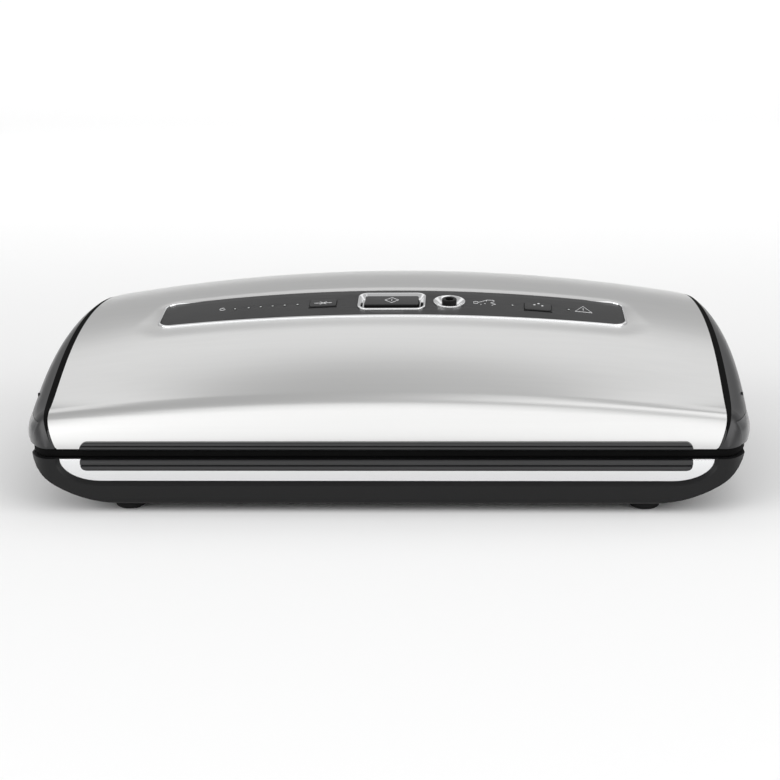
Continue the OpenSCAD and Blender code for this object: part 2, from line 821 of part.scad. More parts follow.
// Release button: the end cap's own face, swollen low down and fading out at its top and ends
function swell(u, v) = latch_out*(1 - pow(u, 4))
    *lookup(v, [[0, 0.6], [0.25, 1], [0.5, 0.95], [0.75, 0.6], [1, 0]]);
button_rows = 10;
button_cols = 6;

function button_ring(i, grow) =
    let (u = 2*i/button_rows - 1, y = latch_y + u*(latch_l/2 + grow), z0 = steel_low + 0.2,
        z1 = steel_low + latch_h + grow)
    concat([[latch_in, y, z0]],
        [for (j = [0:button_cols]) let (v = j/button_cols, z = z0 + (z1 - z0)*v)
            [cap_x(y, z) + swell(u, v), y, z]],
        [[latch_in, y, z1]]);

module loft(rings) {
    n = len(rings[0]);
    m = len(rings);
    sides = [for (j = [0:m - 2]) for (i = [0:n - 1])
        let (k = (i + 1)%n)
            each [[j*n + i, (j + 1)*n + i, (j + 1)*n + k], [j*n + i, (j + 1)*n + k, j*n + k]]];
    polyhedron([for (r = rings) for (p = r) p],
        concat(sides, [[for (i = [0:n - 1]) i]], [[for (i = [n - 1:-1:0]) (m - 1)*n + i]]));
}

module latch_pocket() {
    translate([latch_in - 4, latch_y - latch_l/2 - pocket_gap, steel_low - over])
        cube([4*cap_w, latch_l + 2*pocket_gap, latch_h + over + pocket_gap]);
}

module end_cap() {
    color("#1a1a1c") difference() {
        cap_solid();
        latch_pocket();
    }
}

module end_cap_right() end_cap();
module end_cap_left() mirror([1, 0, 0]) end_cap();

module upper_grip() {
    roll = lookup(steel_low + lip_h, [for (k = [0:roll_n]) [profile[k][1], profile[k][0]]]);
    color("#3a3b3d") grip(steel_low, lip_h, roll, true);
}

strip_w = 8;
strip_gap = 0.25;

module lid_liner() {
    back = body_d/2 - lid_back;
    color("#2b2c2e") difference() {
        union() {
            slab(lid_low, liner_top) outline(band_in + frame_t + run_gap/3, face_in, back);
            // raised pads that carry the pump and the transformer
            slab(liner_top - 0.5, liner_top + pad_h) translate([port_x - pump_w/2 - 2, pump_y - pump_d/2 - 2])
                square([pump_w + motor_l + 8, pump_d + 4]);
            slab(liner_top - 0.5, liner_top + pad_h)
                translate([trafo_x, trafo_y]) square([74, 50], center = true);
        }
        slab(lid_low - over, lid_low + 1.2)
            translate([0, -seal_y]) square([seal_l + 4, strip_w], center = true);
        slab(lid_low - over, lid_low + 1.2) at_channel() gasket_ring(0.1);
        at_intake() cylinder(h = 30, r = grommet_r, center = true, $fn = smooth);
        for (s = [-1, 1]) tongue_slot(s, lid_low - over, liner_top + over);
        for (p = liner_spots) translate([p[0], p[1], lid_low - over]) {
            cylinder(h = 9, r = screw_r + 0.1, $fn = smooth);
            cylinder(h = over + liner_head_t, r = screw_head_r + 0.1, $fn = smooth);
        }
        hinge_notch();
    }
}

module upper_gasket() {
    color("#4a4a4c") slab(part_z + run_gap/2, lid_low + 1.2) at_channel() gasket_ring(0);
}

module pressure_strip() {
    color("#b5552c") slab(part_z + strip_gap, lid_low + 1.2) translate([0, -seal_y])
        square([seal_l + 4 - 0.2, strip_w - 0.1], center = true);
}

module liner_screws() {
    color("#9a9da0") for (p = liner_spots) translate([p[0], p[1], lid_low]) {
        cylinder(h = liner_head_t, r = screw_head_r, $fn = 32);
        translate([0, 0, liner_head_t]) cylinder(h = liner_screw_l, r = screw_r - 0.05, $fn = 32);
    }
}

// ---- Controls ----

module panel_bezel() {
    color("#dcdfe2") difference() {
        at_panel_layer(-0.4, panel_sink + panel_t) panel_shape(bezel_w);
        at_panel() slab(body_h - 60, body_h + 20) panel_shape(0);
    }
}

module at_panel_layer(top, bottom) {
    dome_layer(top, bottom, body_h - 60, body_h + 20) translate([0, panel_y]) children();
}

module key_hole(x, l, d, r) {
    on_panel(x) translate([0, 0, -10]) linear_extrude(20) rounded_bar(l, d, r);
}

key_r = 2;
board_drop = 15;
post_xs = [-118, -30, 18, 64, 118];
post_r = 2;
post_y = 14;

// The level frame of the circuit board, tilted only front to back
module on_board() {
    translate([0, panel_y, dome_z(0, panel_y)]) rotate([panel_tilt, 0, 0]) children();
}

module control_panel() {
    color("#4b4d50") difference() {
        union() {
            at_panel_layer(panel_sink, panel_sink + panel_t) panel_shape(-0.05);
            // posts that carry the circuit board
            for (x = post_xs) on_board() translate([x, post_y, -board_drop])
                cylinder(h = board_drop - panel_sink - panel_t - crown_drop(x) + 0.6,
                    r = post_r, $fn = smooth);
        }
        key_hole(0, key_l + 2*frame_rim, frame_d, frame_r);
        key_hole(button_x, flat_key_l, flat_key_d, key_r);
        key_hole(food_x, flat_key_l, flat_key_d, key_r);
        on_panel(port_x) cylinder(h = 20, r = port_dish_r, center = true, $fn = smooth);
        for (x = led_xs) on_panel(x) cylinder(h = 20, r = led_r, center = true, $fn = 32);
    }
}

// Bright frame of the start key: a narrow rim and walls that slope down to the key
module start_frame() {
    l = key_l + 2*frame_rim;
    color("#d4d7da") on_panel(0) difference() {
        translate([0, 0, -panel_sink - panel_t]) linear_extrude(panel_sink + panel_t + frame_up)
            rounded_bar(l - 0.1, frame_d - 0.1, frame_r);
        hull() {
            translate([0, 0, frame_up]) linear_extrude(over)
                rounded_bar(l - 2*rim_w, frame_d - 2*rim_w, frame_r - rim_w);
            translate([0, 0, -frame_deep]) linear_extrude(over)
                rounded_bar(key_l + 2*rim_foot, key_d + 2*rim_foot, key_r + rim_foot);
        }
        translate([0, 0, -10]) linear_extrude(20) rounded_bar(key_l + 2*run_gap, key_d + 2*run_gap, key_r);
    }
}

stem_r = 2.2;
stem_gap = 0.4;

// Key at x with a stem that ends just short of the switch under it
module key_cap(x, l, d, top) {
    low = panel_sink + panel_t;
    stem_low = board_drop - crown_drop(x) - switch_h - key_travel - stem_gap;
    on_panel(x) {
        translate([0, 0, -low]) linear_extrude(low + top) rounded_bar(l, d, key_r - 0.3);
        translate([0, 0, -stem_low]) cylinder(h = stem_low - low + 0.5, r = stem_r, $fn = smooth);
    }
}

switch_h = 3.4;
switch_l = 6;

module start_key() {
    color("#333437") key_cap(0, key_l, key_d, key_rise);
}

module seal_key() {
    color("#55575a") key_cap(button_x, flat_key_l - 2*run_gap, flat_key_d - 2*run_gap, 0);
}

module food_key() {
    color("#55575a") key_cap(food_x, flat_key_l - 2*run_gap, flat_key_d - 2*run_gap, 0);
}

nozzle_r = 4.6;
nozzle_up = 2;

module port_dish() {
    color("#dadde0") on_panel(port_x) difference() {
        translate([0, 0, -panel_sink - panel_t])
            cylinder(h = panel_sink + panel_t + 0.6, r = port_dish_r - 0.05, $fn = smooth);
        translate([0, 0, -2]) cylinder(h = 3, r1 = nozzle_r + 1.2, r2 = port_dish_r - 0.2, $fn = smooth);
        cylinder(h = 20, r = nozzle_r, center = true, $fn = smooth);
    }
}

module port_nozzle() {
    color("#151516") on_panel(port_x) difference() {
        translate([0, 0, -nozzle_low])
            cylinder(h = nozzle_low + nozzle_up, r = nozzle_r - 0.02, $fn = smooth);
        translate([0, 0, -10]) cylinder(h = 20, r = port_bore_r, $fn = smooth);
    }
}

module status_lights() {
    color("#cfe3d0") for (x = led_xs) on_panel(x) translate([0, 0, -panel_sink - panel_t])
        cylinder(h = panel_t + 0.1, r = led_r - 0.02, $fn = 32);
}

board_t = 1.6;
board_l = 246;
board_d = 34;
board_back = 1;

module circuit_board() {
    color("#1f5a3a") difference() {
        on_board() translate([0, board_back, -board_drop - board_t/2])
            cube([board_l, board_d, board_t], center = true);
        on_panel(port_x) cylinder(h = 3*board_drop, r = nozzle_r + 2, center = true, $fn = smooth);
    }
}

module touch_switches() {
    color("#3b3b3d") for (x = [0, button_x, food_x]) on_board() translate([x, 0, -board_drop + switch_h/2])
        cube([switch_l, switch_l, switch_h], center = true);
}

// ---- Pump and power ----

shaft_r = 5;
neck_l = 3;

module motor_axis() {
    translate([pump_end, pump_y, pump_z]) rotate([0, 90, 0]) children();
}

module pump_motor() {
    color("#a8abae") motor_axis() {
        cylinder(h = neck_l, r = shaft_r, $fn = smooth);
        translate([0, 0, neck_l]) cylinder(h = motor_l - neck_l, r = motor_r, $fn = smooth);
    }
}

pad_z = liner_top + pad_h;

module pump_head() {
    cover_r = 12;
    cover_t = 3;
    color("#2d3a4a") {
        translate([port_x - pump_w/2, pump_y - pump_d/2, pad_z]) cube([pump_w, pump_d, pump_h]);
        translate([port_x - pump_w/2 - cover_t, pump_y, pad_z + pump_h/2]) rotate([0, 90, 0])
            cylinder(h = cover_t + 1, r = cover_r, $fn = smooth);
    }
}

module pump_bracket() {
    l = 28;
    color("#7d8083") difference() {
        translate([pump_end + motor_l - l - 4, pump_y - motor_r - saddle_t, pad_z])
            cube([l, 2*(motor_r + saddle_t), motor_r - 3]);
        motor_axis() cylinder(h = motor_l, r = motor_r, $fn = smooth);
    }
}

core = [52, 36, 36];
coil = [32, 46, 28];
plate_t = 2;

module transformer() {
    color("#6b4a2a") translate([trafo_x, trafo_y, pad_z + plate_t + core[2]/2]) {
        cube(core, center = true);
        cube(coil, center = true);
    }
}

module transformer_bracket() {
    color("#9a9da0") translate([trafo_x, trafo_y, pad_z + plate_t/2])
        cube([core[0] + 18, core[1], plate_t], center = true);
}

grommet_r = 4.5;
grommet_up = 8;
hose_r = 3.6;
hose_bore = 2.2;
hose_bend = 10;
hose_rise = 4;

module at_intake() {
    translate([port_x, -channel_y, liner_top]) children();
}

module intake_grommet() {
    color("#151516") at_intake() difference() {
        union() {
            translate([0, 0, -liner_t]) cylinder(h = liner_t + grommet_up, r = grommet_r, $fn = smooth);
            cylinder(h = 1.5, r = grommet_r + 1.5, $fn = smooth);
        }
        cylinder(h = 40, r = hose_bore, center = true, $fn = smooth);
    }
}

// Hose with one bend: up from the intake, then back into the pump
module hose_path(r, more) {
    run = channel_y + pump_y - pump_d/2 - hose_bend;
    at_intake() translate([0, 0, grommet_up]) {
        translate([0, 0, -more]) cylinder(h = hose_rise + more, r = r, $fn = smooth);
        translate([0, hose_bend, hose_rise]) rotate([90, 0, -90]) rotate_extrude(angle = 90, $fn = smooth)
            translate([hose_bend, 0]) circle(r, $fn = smooth);
        translate([0, hose_bend, hose_rise + hose_bend]) rotate([-90, 0, 0])
            cylinder(h = run + more, r = r, $fn = smooth);
    }
}

module vacuum_hose() {
    color("#c7ccd0") difference() {
        hose_path(hose_r, 0);
        hose_path(hose_bore, over);
    }
}

nozzle_low = panel_sink + panel_t + 6;

module port_hose() {
    color("#c7ccd0") difference() {
        on_panel(port_x) translate([0, 0, -nozzle_low - 40]) cylinder(h = 40, r = hose_r, $fn = smooth);
        on_panel(port_x) translate([0, 0, -nozzle_low - 50]) cylinder(h = 60, r = hose_bore, $fn = smooth);
        slab(0, pad_z + pump_h) square(big, center = true);
    }
}

// ---- Latch ----

module release_button() {
    loft([for (i = [0:button_rows]) button_ring(i, 0)]);
}

module latch_pawl() {
    foot_t = 2.5;
    translate([tongue_x, tongue_y - tongue_w/2, 0]) {
        translate([0, 0, tongue_low]) cube([tongue_t, tongue_w, arm_z + arm_h - tongue_low]);
        translate([0, 0, arm_z]) cube([latch_in - tongue_x, tongue_w, arm_h]);
        translate([0, 0, tongue_low]) cube([tongue_t + nose, tongue_w, foot_t]);
    }
}

module release_button_right() {
    color("#3c3d40") release_button();
}

module release_button_left() {
    color("#3c3d40") mirror([1, 0, 0]) release_button();
}

module latch_pawl_right() {
    color("#55575a") latch_pawl();
}

module latch_pawl_left() {
    color("#55575a") mirror([1, 0, 0]) latch_pawl();
}

base_shell();
base_deck();
channel_pan();
front_fascia();
lower_grip();
foot_front_left();
foot_front_right();
foot_rear_left();
foot_rear_right();
seal_bar();
heating_wire();
release_tape();
lower_gasket();
drip_tray();
latch_keepers();
hinge_pins();
base_screws();
cord_bush();
lid_skin();
lid_frame();
end_cap_left();
end_cap_right();
upper_grip();
lid_liner();
upper_gasket();
pressure_strip();
liner_screws();
panel_bezel();
control_panel();
start_frame();
port_dish();
port_nozzle();
status_lights();
circuit_board();
touch_switches();
pump_motor();
pump_head();
pump_bracket();
transformer();
transformer_bracket();
vacuum_hose();
port_hose();
intake_grommet();
start_key();
seal_key();
food_key();
release_button_left();
release_button_right();
latch_pawl_left();
latch_pawl_right();
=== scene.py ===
# %% [markdown]
# # A countertop vacuum sealer, dressed part by part
#
# The CAD model already holds every piece of the appliance at its real size. This notebook loads it as a fixed
# frame, sets up a small studio, mixes the finishes, and builds the pieces that need finer surfaces than the
# CAD solids have: the domed steel lid, the glossy end caps, the moulded edges and the small marks on the strip.

# %% Load the frame
import json
import math

import bmesh
import bpy
import numpy as np
from mathutils import Matrix, Vector

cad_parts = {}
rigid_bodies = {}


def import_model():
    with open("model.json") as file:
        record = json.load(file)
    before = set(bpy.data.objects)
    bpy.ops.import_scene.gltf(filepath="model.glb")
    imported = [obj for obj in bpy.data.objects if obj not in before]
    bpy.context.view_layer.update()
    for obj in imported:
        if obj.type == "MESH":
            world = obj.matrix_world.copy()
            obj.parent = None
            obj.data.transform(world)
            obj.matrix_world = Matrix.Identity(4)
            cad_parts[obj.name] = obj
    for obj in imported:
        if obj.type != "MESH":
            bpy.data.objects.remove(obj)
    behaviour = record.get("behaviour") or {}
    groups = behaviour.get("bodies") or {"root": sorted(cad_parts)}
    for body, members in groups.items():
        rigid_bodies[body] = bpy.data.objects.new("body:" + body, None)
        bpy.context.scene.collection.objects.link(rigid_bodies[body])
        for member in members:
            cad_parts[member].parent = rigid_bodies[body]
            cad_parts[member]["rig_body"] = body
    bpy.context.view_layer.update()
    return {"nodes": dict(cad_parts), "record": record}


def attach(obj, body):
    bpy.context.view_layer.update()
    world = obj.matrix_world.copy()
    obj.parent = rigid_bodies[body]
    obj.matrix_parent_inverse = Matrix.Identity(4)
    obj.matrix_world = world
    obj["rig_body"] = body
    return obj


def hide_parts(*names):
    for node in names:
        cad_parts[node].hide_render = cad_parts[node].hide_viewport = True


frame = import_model()
nodes = frame["nodes"]
scene = bpy.context.scene
MM = 0.001


def new_object(name, data):
    """An object in the scene."""
    made = bpy.data.objects.new(name, data)
    scene.collection.objects.link(made)
    return made


# %% [markdown]
# ## Camera
#
# A small appliance is best shown through a long lens from a little above the table: the front edge stays almost
# straight and the dome shows its top. A camera could be turned by hand until it looks right. Here it is placed by a
# distance, an elevation, a small turn and a roll of less than a degree, so each can be changed alone.

# %% Camera
aim = Vector((-2, 0, 43.1)) * MM
camera_distance = 1.300
camera_elevation = math.radians(14.77)
camera_turn = math.radians(2.9)
camera_roll = math.radians(-0.82)
lens_mm = 95.9

away = Vector((math.sin(camera_turn) * math.cos(camera_elevation),
               -math.cos(camera_turn) * math.cos(camera_elevation), math.sin(camera_elevation)))
right = Vector((0, 0, 1)).cross(away).normalized()
up = away.cross(right)
rolled_right = right * math.cos(camera_roll) + up * math.sin(camera_roll)
rolled_up = away.cross(rolled_right)
camera_data = bpy.data.cameras.new("studio_camera")
camera_data.lens = lens_mm
camera_data.sensor_width = 36
camera = new_object("studio_camera", camera_data)
camera.matrix_world = Matrix.Translation(aim + away * camera_distance) @ Matrix(
    (rolled_right, rolled_up, away)).transposed().to_4x4()
scene.camera = camera
print("camera at", [round(v, 3) for v in camera.location])

# %% [markdown]
# ## Floor and light
#
# Steel shows what stands around it, so the lights matter more than the colour of the metal. The studio is a pale
# sweep of paper, an even dim room, and seven large soft boxes, as small lamps would leave hard spots in the metal.
# Those behind and above are what the top of the dome mirrors, the high one in front is for the slope, the low one
# for the bright front edge, and the two at the sides, well forward, light the floor.

# %% Paper sweep
scene.view_settings.view_transform = "Standard"
paper_shade, paper_half, paper_front = 0.9, 5.0, -4.0
bend_start, bend_radius, bend_angle = 1.6, 1.0, math.radians(38)


def make_mesh(name, points, faces):
    """A mesh object from points in metres and lists of corner numbers."""
    mesh = bpy.data.meshes.new(name)
    mesh.from_pydata([tuple(p) for p in points], [], [tuple(f) for f in faces])
    mesh.update()
    return new_object(name, mesh)


def paper_sweep():
    """A floor that curves up into a low wall behind the object."""
    bend = [(bend_start + bend_radius * math.sin(a), bend_radius * (1 - math.cos(a)))
            for a in np.linspace(0, bend_angle, 12)]
    line = [(paper_front, 0.0)] + bend
    points = [(x, y, z) for y, z in line for x in (-paper_half, paper_half)]
    faces = [(2 * i, 2 * i + 1, 2 * i + 3, 2 * i + 2) for i in range(len(line) - 1)]
    sweep = make_mesh("paper_sweep", points, faces)
    for p in sweep.data.polygons:
        p.use_smooth = True
    paper = bpy.data.materials.new("white_paper")
    paper.use_nodes = True
    shader = paper.node_tree.nodes["Principled BSDF"]
    shader.inputs["Base Color"].default_value = (paper_shade, paper_shade, paper_shade, 1)
    shader.inputs["Roughness"].default_value = 0.9
    sweep.data.materials.append(paper)


paper_sweep()
print("paper", 2 * paper_half, "m wide, from", paper_front, "m")

# %% Soft boxes and room
def soft_box(name, place, look_at, wide, high, watts):
    """A rectangular soft box, aimed at a point."""
    data = bpy.data.lights.new(name, "AREA")
    data.shape = "RECTANGLE"
    data.size, data.size_y = wide, high
    data.energy = watts
    box = new_object(name, data)
    box.location = place
    box.rotation_euler = (Vector(look_at) - Vector(place)).to_track_quat("-Z", "Y").to_euler()


room_light = 0.5
room = bpy.data.worlds.new("dim_room")
room.use_nodes = True
room.node_tree.nodes["Background"].inputs["Color"].default_value = (1, 1, 1, 1)
room.node_tree.nodes["Background"].inputs["Strength"].default_value = room_light
scene.world = room
lid_middle, floor_middle, wall_foot = (0, 0, 0.05), (0, 0, 0.0), (0, 2.2, 0.5)
soft_box("box_behind", (0.0, 1.15, 1.4), lid_middle, 3.2, 0.8, 4.0)
soft_box("box_backdrop", (0.0, 1.0, 1.3), wall_foot, 4.0, 0.6, 21)
soft_box("box_front_high", (0.0, -1.1, 1.55), lid_middle, 2.6, 0.5, 2.4)
soft_box("box_front_low", (0.0, -1.9, 1.0), lid_middle, 3.0, 1.7, 11.5)
soft_box("box_top_right", (0.76, -0.18, 1.6), lid_middle, 0.8, 1.5, 3.0)
soft_box("box_left", (-1.8, -1.1, 0.95), floor_middle, 2.2, 1.2, 20)
soft_box("box_right", (1.8, -1.1, 0.95), floor_middle, 2.2, 1.2, 18)

# %% [markdown]
# ## Shared surface effects
#
# Three small effects come back in many finishes: the fine grain of a moulded plastic, the side-to-side streaks of
# brushed steel, and the faint uneven sheen that handling leaves. They could be drawn as pictures, but noise on the
# object's own coordinates needs no file, has no seams and keeps its real scale. Each is a node group that gives out
# masks and heights only; the shader itself stays in each material.

# %% Node group helper
def new_group(name, inputs, outputs):
    """An empty shader group with float or vector sockets; returns the group and its two end nodes."""
    group = bpy.data.node_groups.new(name, "ShaderNodeTree")
    for label, kind, value in inputs:
        socket = group.interface.new_socket(label, in_out="INPUT", socket_type=kind)
        if value is not None:
            socket.default_value = value
    for label in outputs:
        group.interface.new_socket(label, in_out="OUTPUT", socket_type="NodeSocketFloat")
    return group, group.nodes.new("NodeGroupInput"), group.nodes.new("NodeGroupOutput")


FLOAT, VECTOR = "NodeSocketFloat", "NodeSocketVector"

# %% Helpers for sockets
def wire(group, *pairs):
    """Links each first socket to its second one."""
    for giver, taker in pairs:
        group.links.new(giver, taker)


def put(node, **values):
    """Sets inputs of a node by name, with _ for a space."""
    for label, value in values.items():
        node.inputs[label.replace("_", " ")].default_value = value


def feed(group, socket, value):
    """Gives a socket a number or links one to it."""
    if isinstance(value, (int, float)):
        socket.default_value = value
    else:
        group.links.new(value, socket)


def field(group, operation, *values):
    """The output of a math node on numbers or sockets."""
    node = group.nodes.new("ShaderNodeMath")
    node.operation = operation
    for socket, value in zip(node.inputs, values):
        feed(group, socket, value)
    return node.outputs[0]


def noise(group, vector, scale, detail, rough):
    """A noise texture node in a group; scale is a number or a socket."""
    node = group.nodes.new("ShaderNodeTexNoise")
    put(node, Detail=detail, Roughness=rough)
    group.links.new(vector, node.inputs["Vector"])
    feed(group, node.inputs["Scale"], scale)
    return node


# %% Moulded grain
def build_moulded_grain():
    """Height of a fine spark-eroded grain and a slow mottle, from a position."""
    group, start, end = new_group("moulded_grain", [
        ("Position", VECTOR, None), ("Grains per metre", FLOAT, 2500.0), ("Mottle per metre", FLOAT, 30.0)],
        ["Height", "Mottle"])
    fine = noise(group, start.outputs["Position"], start.outputs["Grains per metre"], 3.0, 0.6)
    slow = noise(group, start.outputs["Position"], start.outputs["Mottle per metre"], 2.0, 0.5)
    wire(group, (fine.outputs[0], end.inputs["Height"]), (slow.outputs[0], end.inputs["Mottle"]))
    return group


moulded_grain = build_moulded_grain()


# %% Brushed streaks
def build_brushed_streaks():
    """Streaks that run along X: a noise read from a position that is squeezed along X."""
    group, start, end = new_group("brushed_streaks", [
        ("Position", VECTOR, None), ("Streaks per metre", FLOAT, 3000.0), ("Shortness", FLOAT, 0.012)],
        ["Height", "Streak"])
    part = group.nodes.new("ShaderNodeSeparateXYZ")
    join = group.nodes.new("ShaderNodeCombineXYZ")
    wire(group, (start.outputs["Position"], part.inputs[0]),
         (field(group, "MULTIPLY", part.outputs["X"], start.outputs["Shortness"]), join.inputs["X"]),
         (part.outputs["Y"], join.inputs["Y"]), (part.outputs["Z"], join.inputs["Z"]))
    fine = noise(group, join.outputs[0], start.outputs["Streaks per metre"], 4.0, 0.7)
    broad = noise(group, join.outputs[0], 260.0, 3.0, 0.55)
    wire(group, (fine.outputs[0], end.inputs["Height"]), (broad.outputs[0], end.inputs["Streak"]))
    return group


brushed_streaks = build_brushed_streaks()


# %% Handling sheen
clean_below, smudged_above = 0.42, 0.72


def build_handling():
    """A mask of faint smudges, from 0 on clean surface to 1 where hands have been."""
    group, start, end = new_group("handling_sheen", [
        ("Position", VECTOR, None), ("Smudges per metre", FLOAT, 22.0)], ["Smudge"])
    cloud = noise(group, start.outputs["Position"], start.outputs["Smudges per metre"], 4.0, 0.6)
    ramp = group.nodes.new("ShaderNodeMapRange")
    put(ramp, From_Min=clean_below, From_Max=smudged_above)
    wire(group, (cloud.outputs[0], ramp.inputs["Value"]), (ramp.outputs[0], end.inputs["Smudge"]))
    return group


handling_sheen = build_handling()
print("groups", [g.name for g in bpy.data.node_groups])

# %% [markdown]
# ## Finishes
#
# The real surfaces are moulded plastics, rubbers, a foam, a silicone and several metals. Each could have its own
# node tree, but they differ in numbers more than in kind. So every finish is one recipe: a colour that drifts a
# little, a roughness that smudges vary, and a fine relief. The relief is "grain" for mouldings and "streaks" for
# brushed or drawn metal; its fineness is counted per metre and its height is in millimetres.

# %% The finish recipe
def scaled(colour, share):
    return tuple(min(1.0, c * share) for c in colour[:3]) + (1.0,)


def finish(name, colour, rough, metallic=0.0, relief="grain", fineness=2500.0, height=0.02, drift=0.12,
           rough_spread=0.06, coat=0.0, specular=0.5, smudges=22.0, sheen=0.0):
    """A procedural material: colour drift, smudged roughness and a fine relief over one Principled shader."""
    material = bpy.data.materials.new(name)
    material.use_nodes = True
    tree = material.node_tree
    shader = tree.nodes["Principled BSDF"]
    place = tree.nodes.new("ShaderNodeTexCoord")
    surface = tree.nodes.new("ShaderNodeGroup")
    surface.node_tree = moulded_grain if relief == "grain" else brushed_streaks
    tree.links.new(place.outputs["Object"], surface.inputs["Position"])
    surface.inputs[1].default_value = fineness
    blend = tree.nodes.new("ShaderNodeMix")
    blend.data_type = "RGBA"
    put(blend, A=scaled(colour, 1 - drift), B=scaled(colour, 1 + drift))
    wire(tree, (surface.outputs[1], blend.inputs["Factor"]),
         (blend.outputs["Result"], shader.inputs["Base Color"]))
    smudge = tree.nodes.new("ShaderNodeGroup")
    smudge.node_tree = handling_sheen
    put(smudge, Smudges_per_metre=smudges)
    tree.links.new(place.outputs["Object"], smudge.inputs["Position"])
    spread = tree.nodes.new("ShaderNodeMapRange")
    put(spread, To_Min=rough, To_Max=rough + rough_spread)
    wire(tree, (smudge.outputs["Smudge"], spread.inputs["Value"]),
         (spread.outputs[0], shader.inputs["Roughness"]))
    bump = tree.nodes.new("ShaderNodeBump")
    put(bump, Distance=height * MM, Strength=1.0)
    wire(tree, (surface.outputs["Height"], bump.inputs["Height"]), (bump.outputs[0], shader.inputs["Normal"]))
    put(shader, Metallic=metallic, Coat_Weight=coat, Coat_Roughness=0.05, Specular_IOR_Level=specular,
        Sheen_Weight=sheen)
    return material


def metal(name, colour, rough, fineness, height, drift, **more):
    """A bare metal with streaks along its length."""
    return finish(name, colour, rough, 1.0, "streaks", fineness, height, drift, **more)


# %% Mix the metals
finishes = {
    "steel": metal("brushed_steel", (0.74, 0.74, 0.735), 0.28, 2600.0, 0.0006, 0.03,
                   rough_spread=0.012, smudges=6.0),
    "bright_metal": metal("bright_metal", (0.88, 0.885, 0.89), 0.12, 1500.0, 0.001, 0.02, rough_spread=0.04),
    "seal_metal": metal("seal_metal", (0.7, 0.7, 0.7), 0.35, 2500.0, 0.003, 0.05),
    "wire_metal": metal("wire_metal", (0.6, 0.5, 0.38), 0.3, 3000.0, 0.002, 0.08),
    "motor_steel": metal("motor_can", (0.62, 0.63, 0.64), 0.3, 1800.0, 0.004, 0.06),
    "bracket_metal": metal("bracket_sheet", (0.66, 0.66, 0.67), 0.36, 2000.0, 0.004, 0.05),
    "zinc": finish("zinc_plate", (0.6, 0.61, 0.63), 0.32, 1.0, "grain", 900.0, 0.004, 0.08),
    "core_metal": finish("core_sheet", (0.16, 0.12, 0.09), 0.5, 0.4, "streaks", 900.0, 0.03, 0.2),
}

# %% Mix the plastics and rubbers
for slot, name, colour, rough, fineness, height, more in [
        ("gloss_black", "gloss_black_plastic", (0.017, 0.017, 0.018), 0.28, 700.0, 0.002, {"specular": 0.48}),
        ("satin_black", "satin_black_plastic", (0.006, 0.006, 0.0063), 0.42, 2200.0, 0.006, {"specular": 0.27}),
        ("inner_black", "inner_black_plastic", (0.035, 0.035, 0.037), 0.5, 1800.0, 0.02, {}),
        ("grip_grey", "grip_plastic", (0.02, 0.02, 0.021), 0.36, 2600.0, 0.012, {}),
        ("foot_rubber", "foot_rubber", (0.007, 0.007, 0.007), 0.7, 1500.0, 0.03, {"specular": 0.2}),
        ("gasket_foam", "gasket_foam", (0.05, 0.05, 0.052), 0.85, 1100.0, 0.12, {"drift": 0.3, "sheen": 0.3}),
        ("strip_silicone", "strip_silicone", (0.5, 0.13, 0.05), 0.45, 1500.0, 0.01, {}),
        ("release_cloth", "release_cloth", (0.3, 0.17, 0.07), 0.5, 1600.0, 0.03, {"drift": 0.25}),
        ("tray_grey", "tray_plastic", (0.09, 0.09, 0.095), 0.38, 2200.0, 0.008, {}),
        ("panel_grey", "panel_plastic", (0.02, 0.02, 0.0205), 0.42, 2600.0, 0.003, {"specular": 0.34}),
        ("key_black", "key_plastic", (0.008, 0.008, 0.0085), 0.3, 1600.0, 0.002, {"specular": 0.4}),
        ("flat_key", "flat_key_plastic", (0.021, 0.021, 0.0215), 0.42, 2600.0, 0.003, {"specular": 0.34}),
        ("button_grey", "button_plastic", (0.035, 0.0355, 0.037), 0.3, 2200.0, 0.003, {"coat": 0.7}),
        ("light_lens", "light_lens", (0.6, 0.62, 0.61), 0.2, 1200.0, 0.002, {"coat": 0.5}),
        ("board_green", "board_mask", (0.012, 0.09, 0.03), 0.35, 900.0, 0.01, {}),
        ("switch_black", "switch_plastic", (0.02, 0.02, 0.021), 0.4, 1800.0, 0.01, {}),
        ("pump_blue", "pump_plastic", (0.02, 0.035, 0.07), 0.45, 1600.0, 0.015, {}),
        ("print_pale", "printed_ink", (0.7, 0.7, 0.71), 0.5, 1800.0, 0.002, {}),
        ("nozzle_black", "nozzle_plastic", (0.004, 0.004, 0.004), 0.3, 1500.0, 0.002, {"specular": 0.14}),
        # Near-black and almost unreflecting: paints shade in the parting band, at the caps' step, round the keys
        # and in recesses.
        ("painted_shade_black", "seam_rubber", (0.003, 0.003, 0.003), 0.8, 1500.0, 0.01, {"specular": 0.08}),
        ("hose_clear", "hose_silicone", (0.7, 0.72, 0.72), 0.35, 900.0, 0.004, {})]:
    finishes[slot] = finish(name, colour, rough, fineness=fineness, height=height, **more)

# %% Give every CAD node its finish
slot_of = {s["node"]: s["material_slot"] for s in frame["record"]["subparts"]}
for name, node in nodes.items():
    node.data.materials.clear()
    node.data.materials.append(finishes[slot_of[name]])
print("finishes", len(finishes), "on", len(slot_of), "nodes")

# %% [markdown]
# ## Softened CAD pieces
#
# Moulded and pressed parts never have knife edges: a small radius lets them leave the tool and catches a thin line
# of light. The CAD solids are sharp. Remodelling them would move their sizes, so a copy of a node's mesh is merged,
# its flat regions are joined again, and a narrow bevel goes along its sharp edges. The copy then stands for the
# node. Weighted normals keep the large flat faces flat up to their new edges.

# %% From modifiers to a plain piece
def result_of(thing):
    """The mesh that an object's modifiers make."""
    graph = bpy.context.evaluated_depsgraph_get()
    return bpy.data.meshes.new_from_object(thing.evaluated_get(graph))


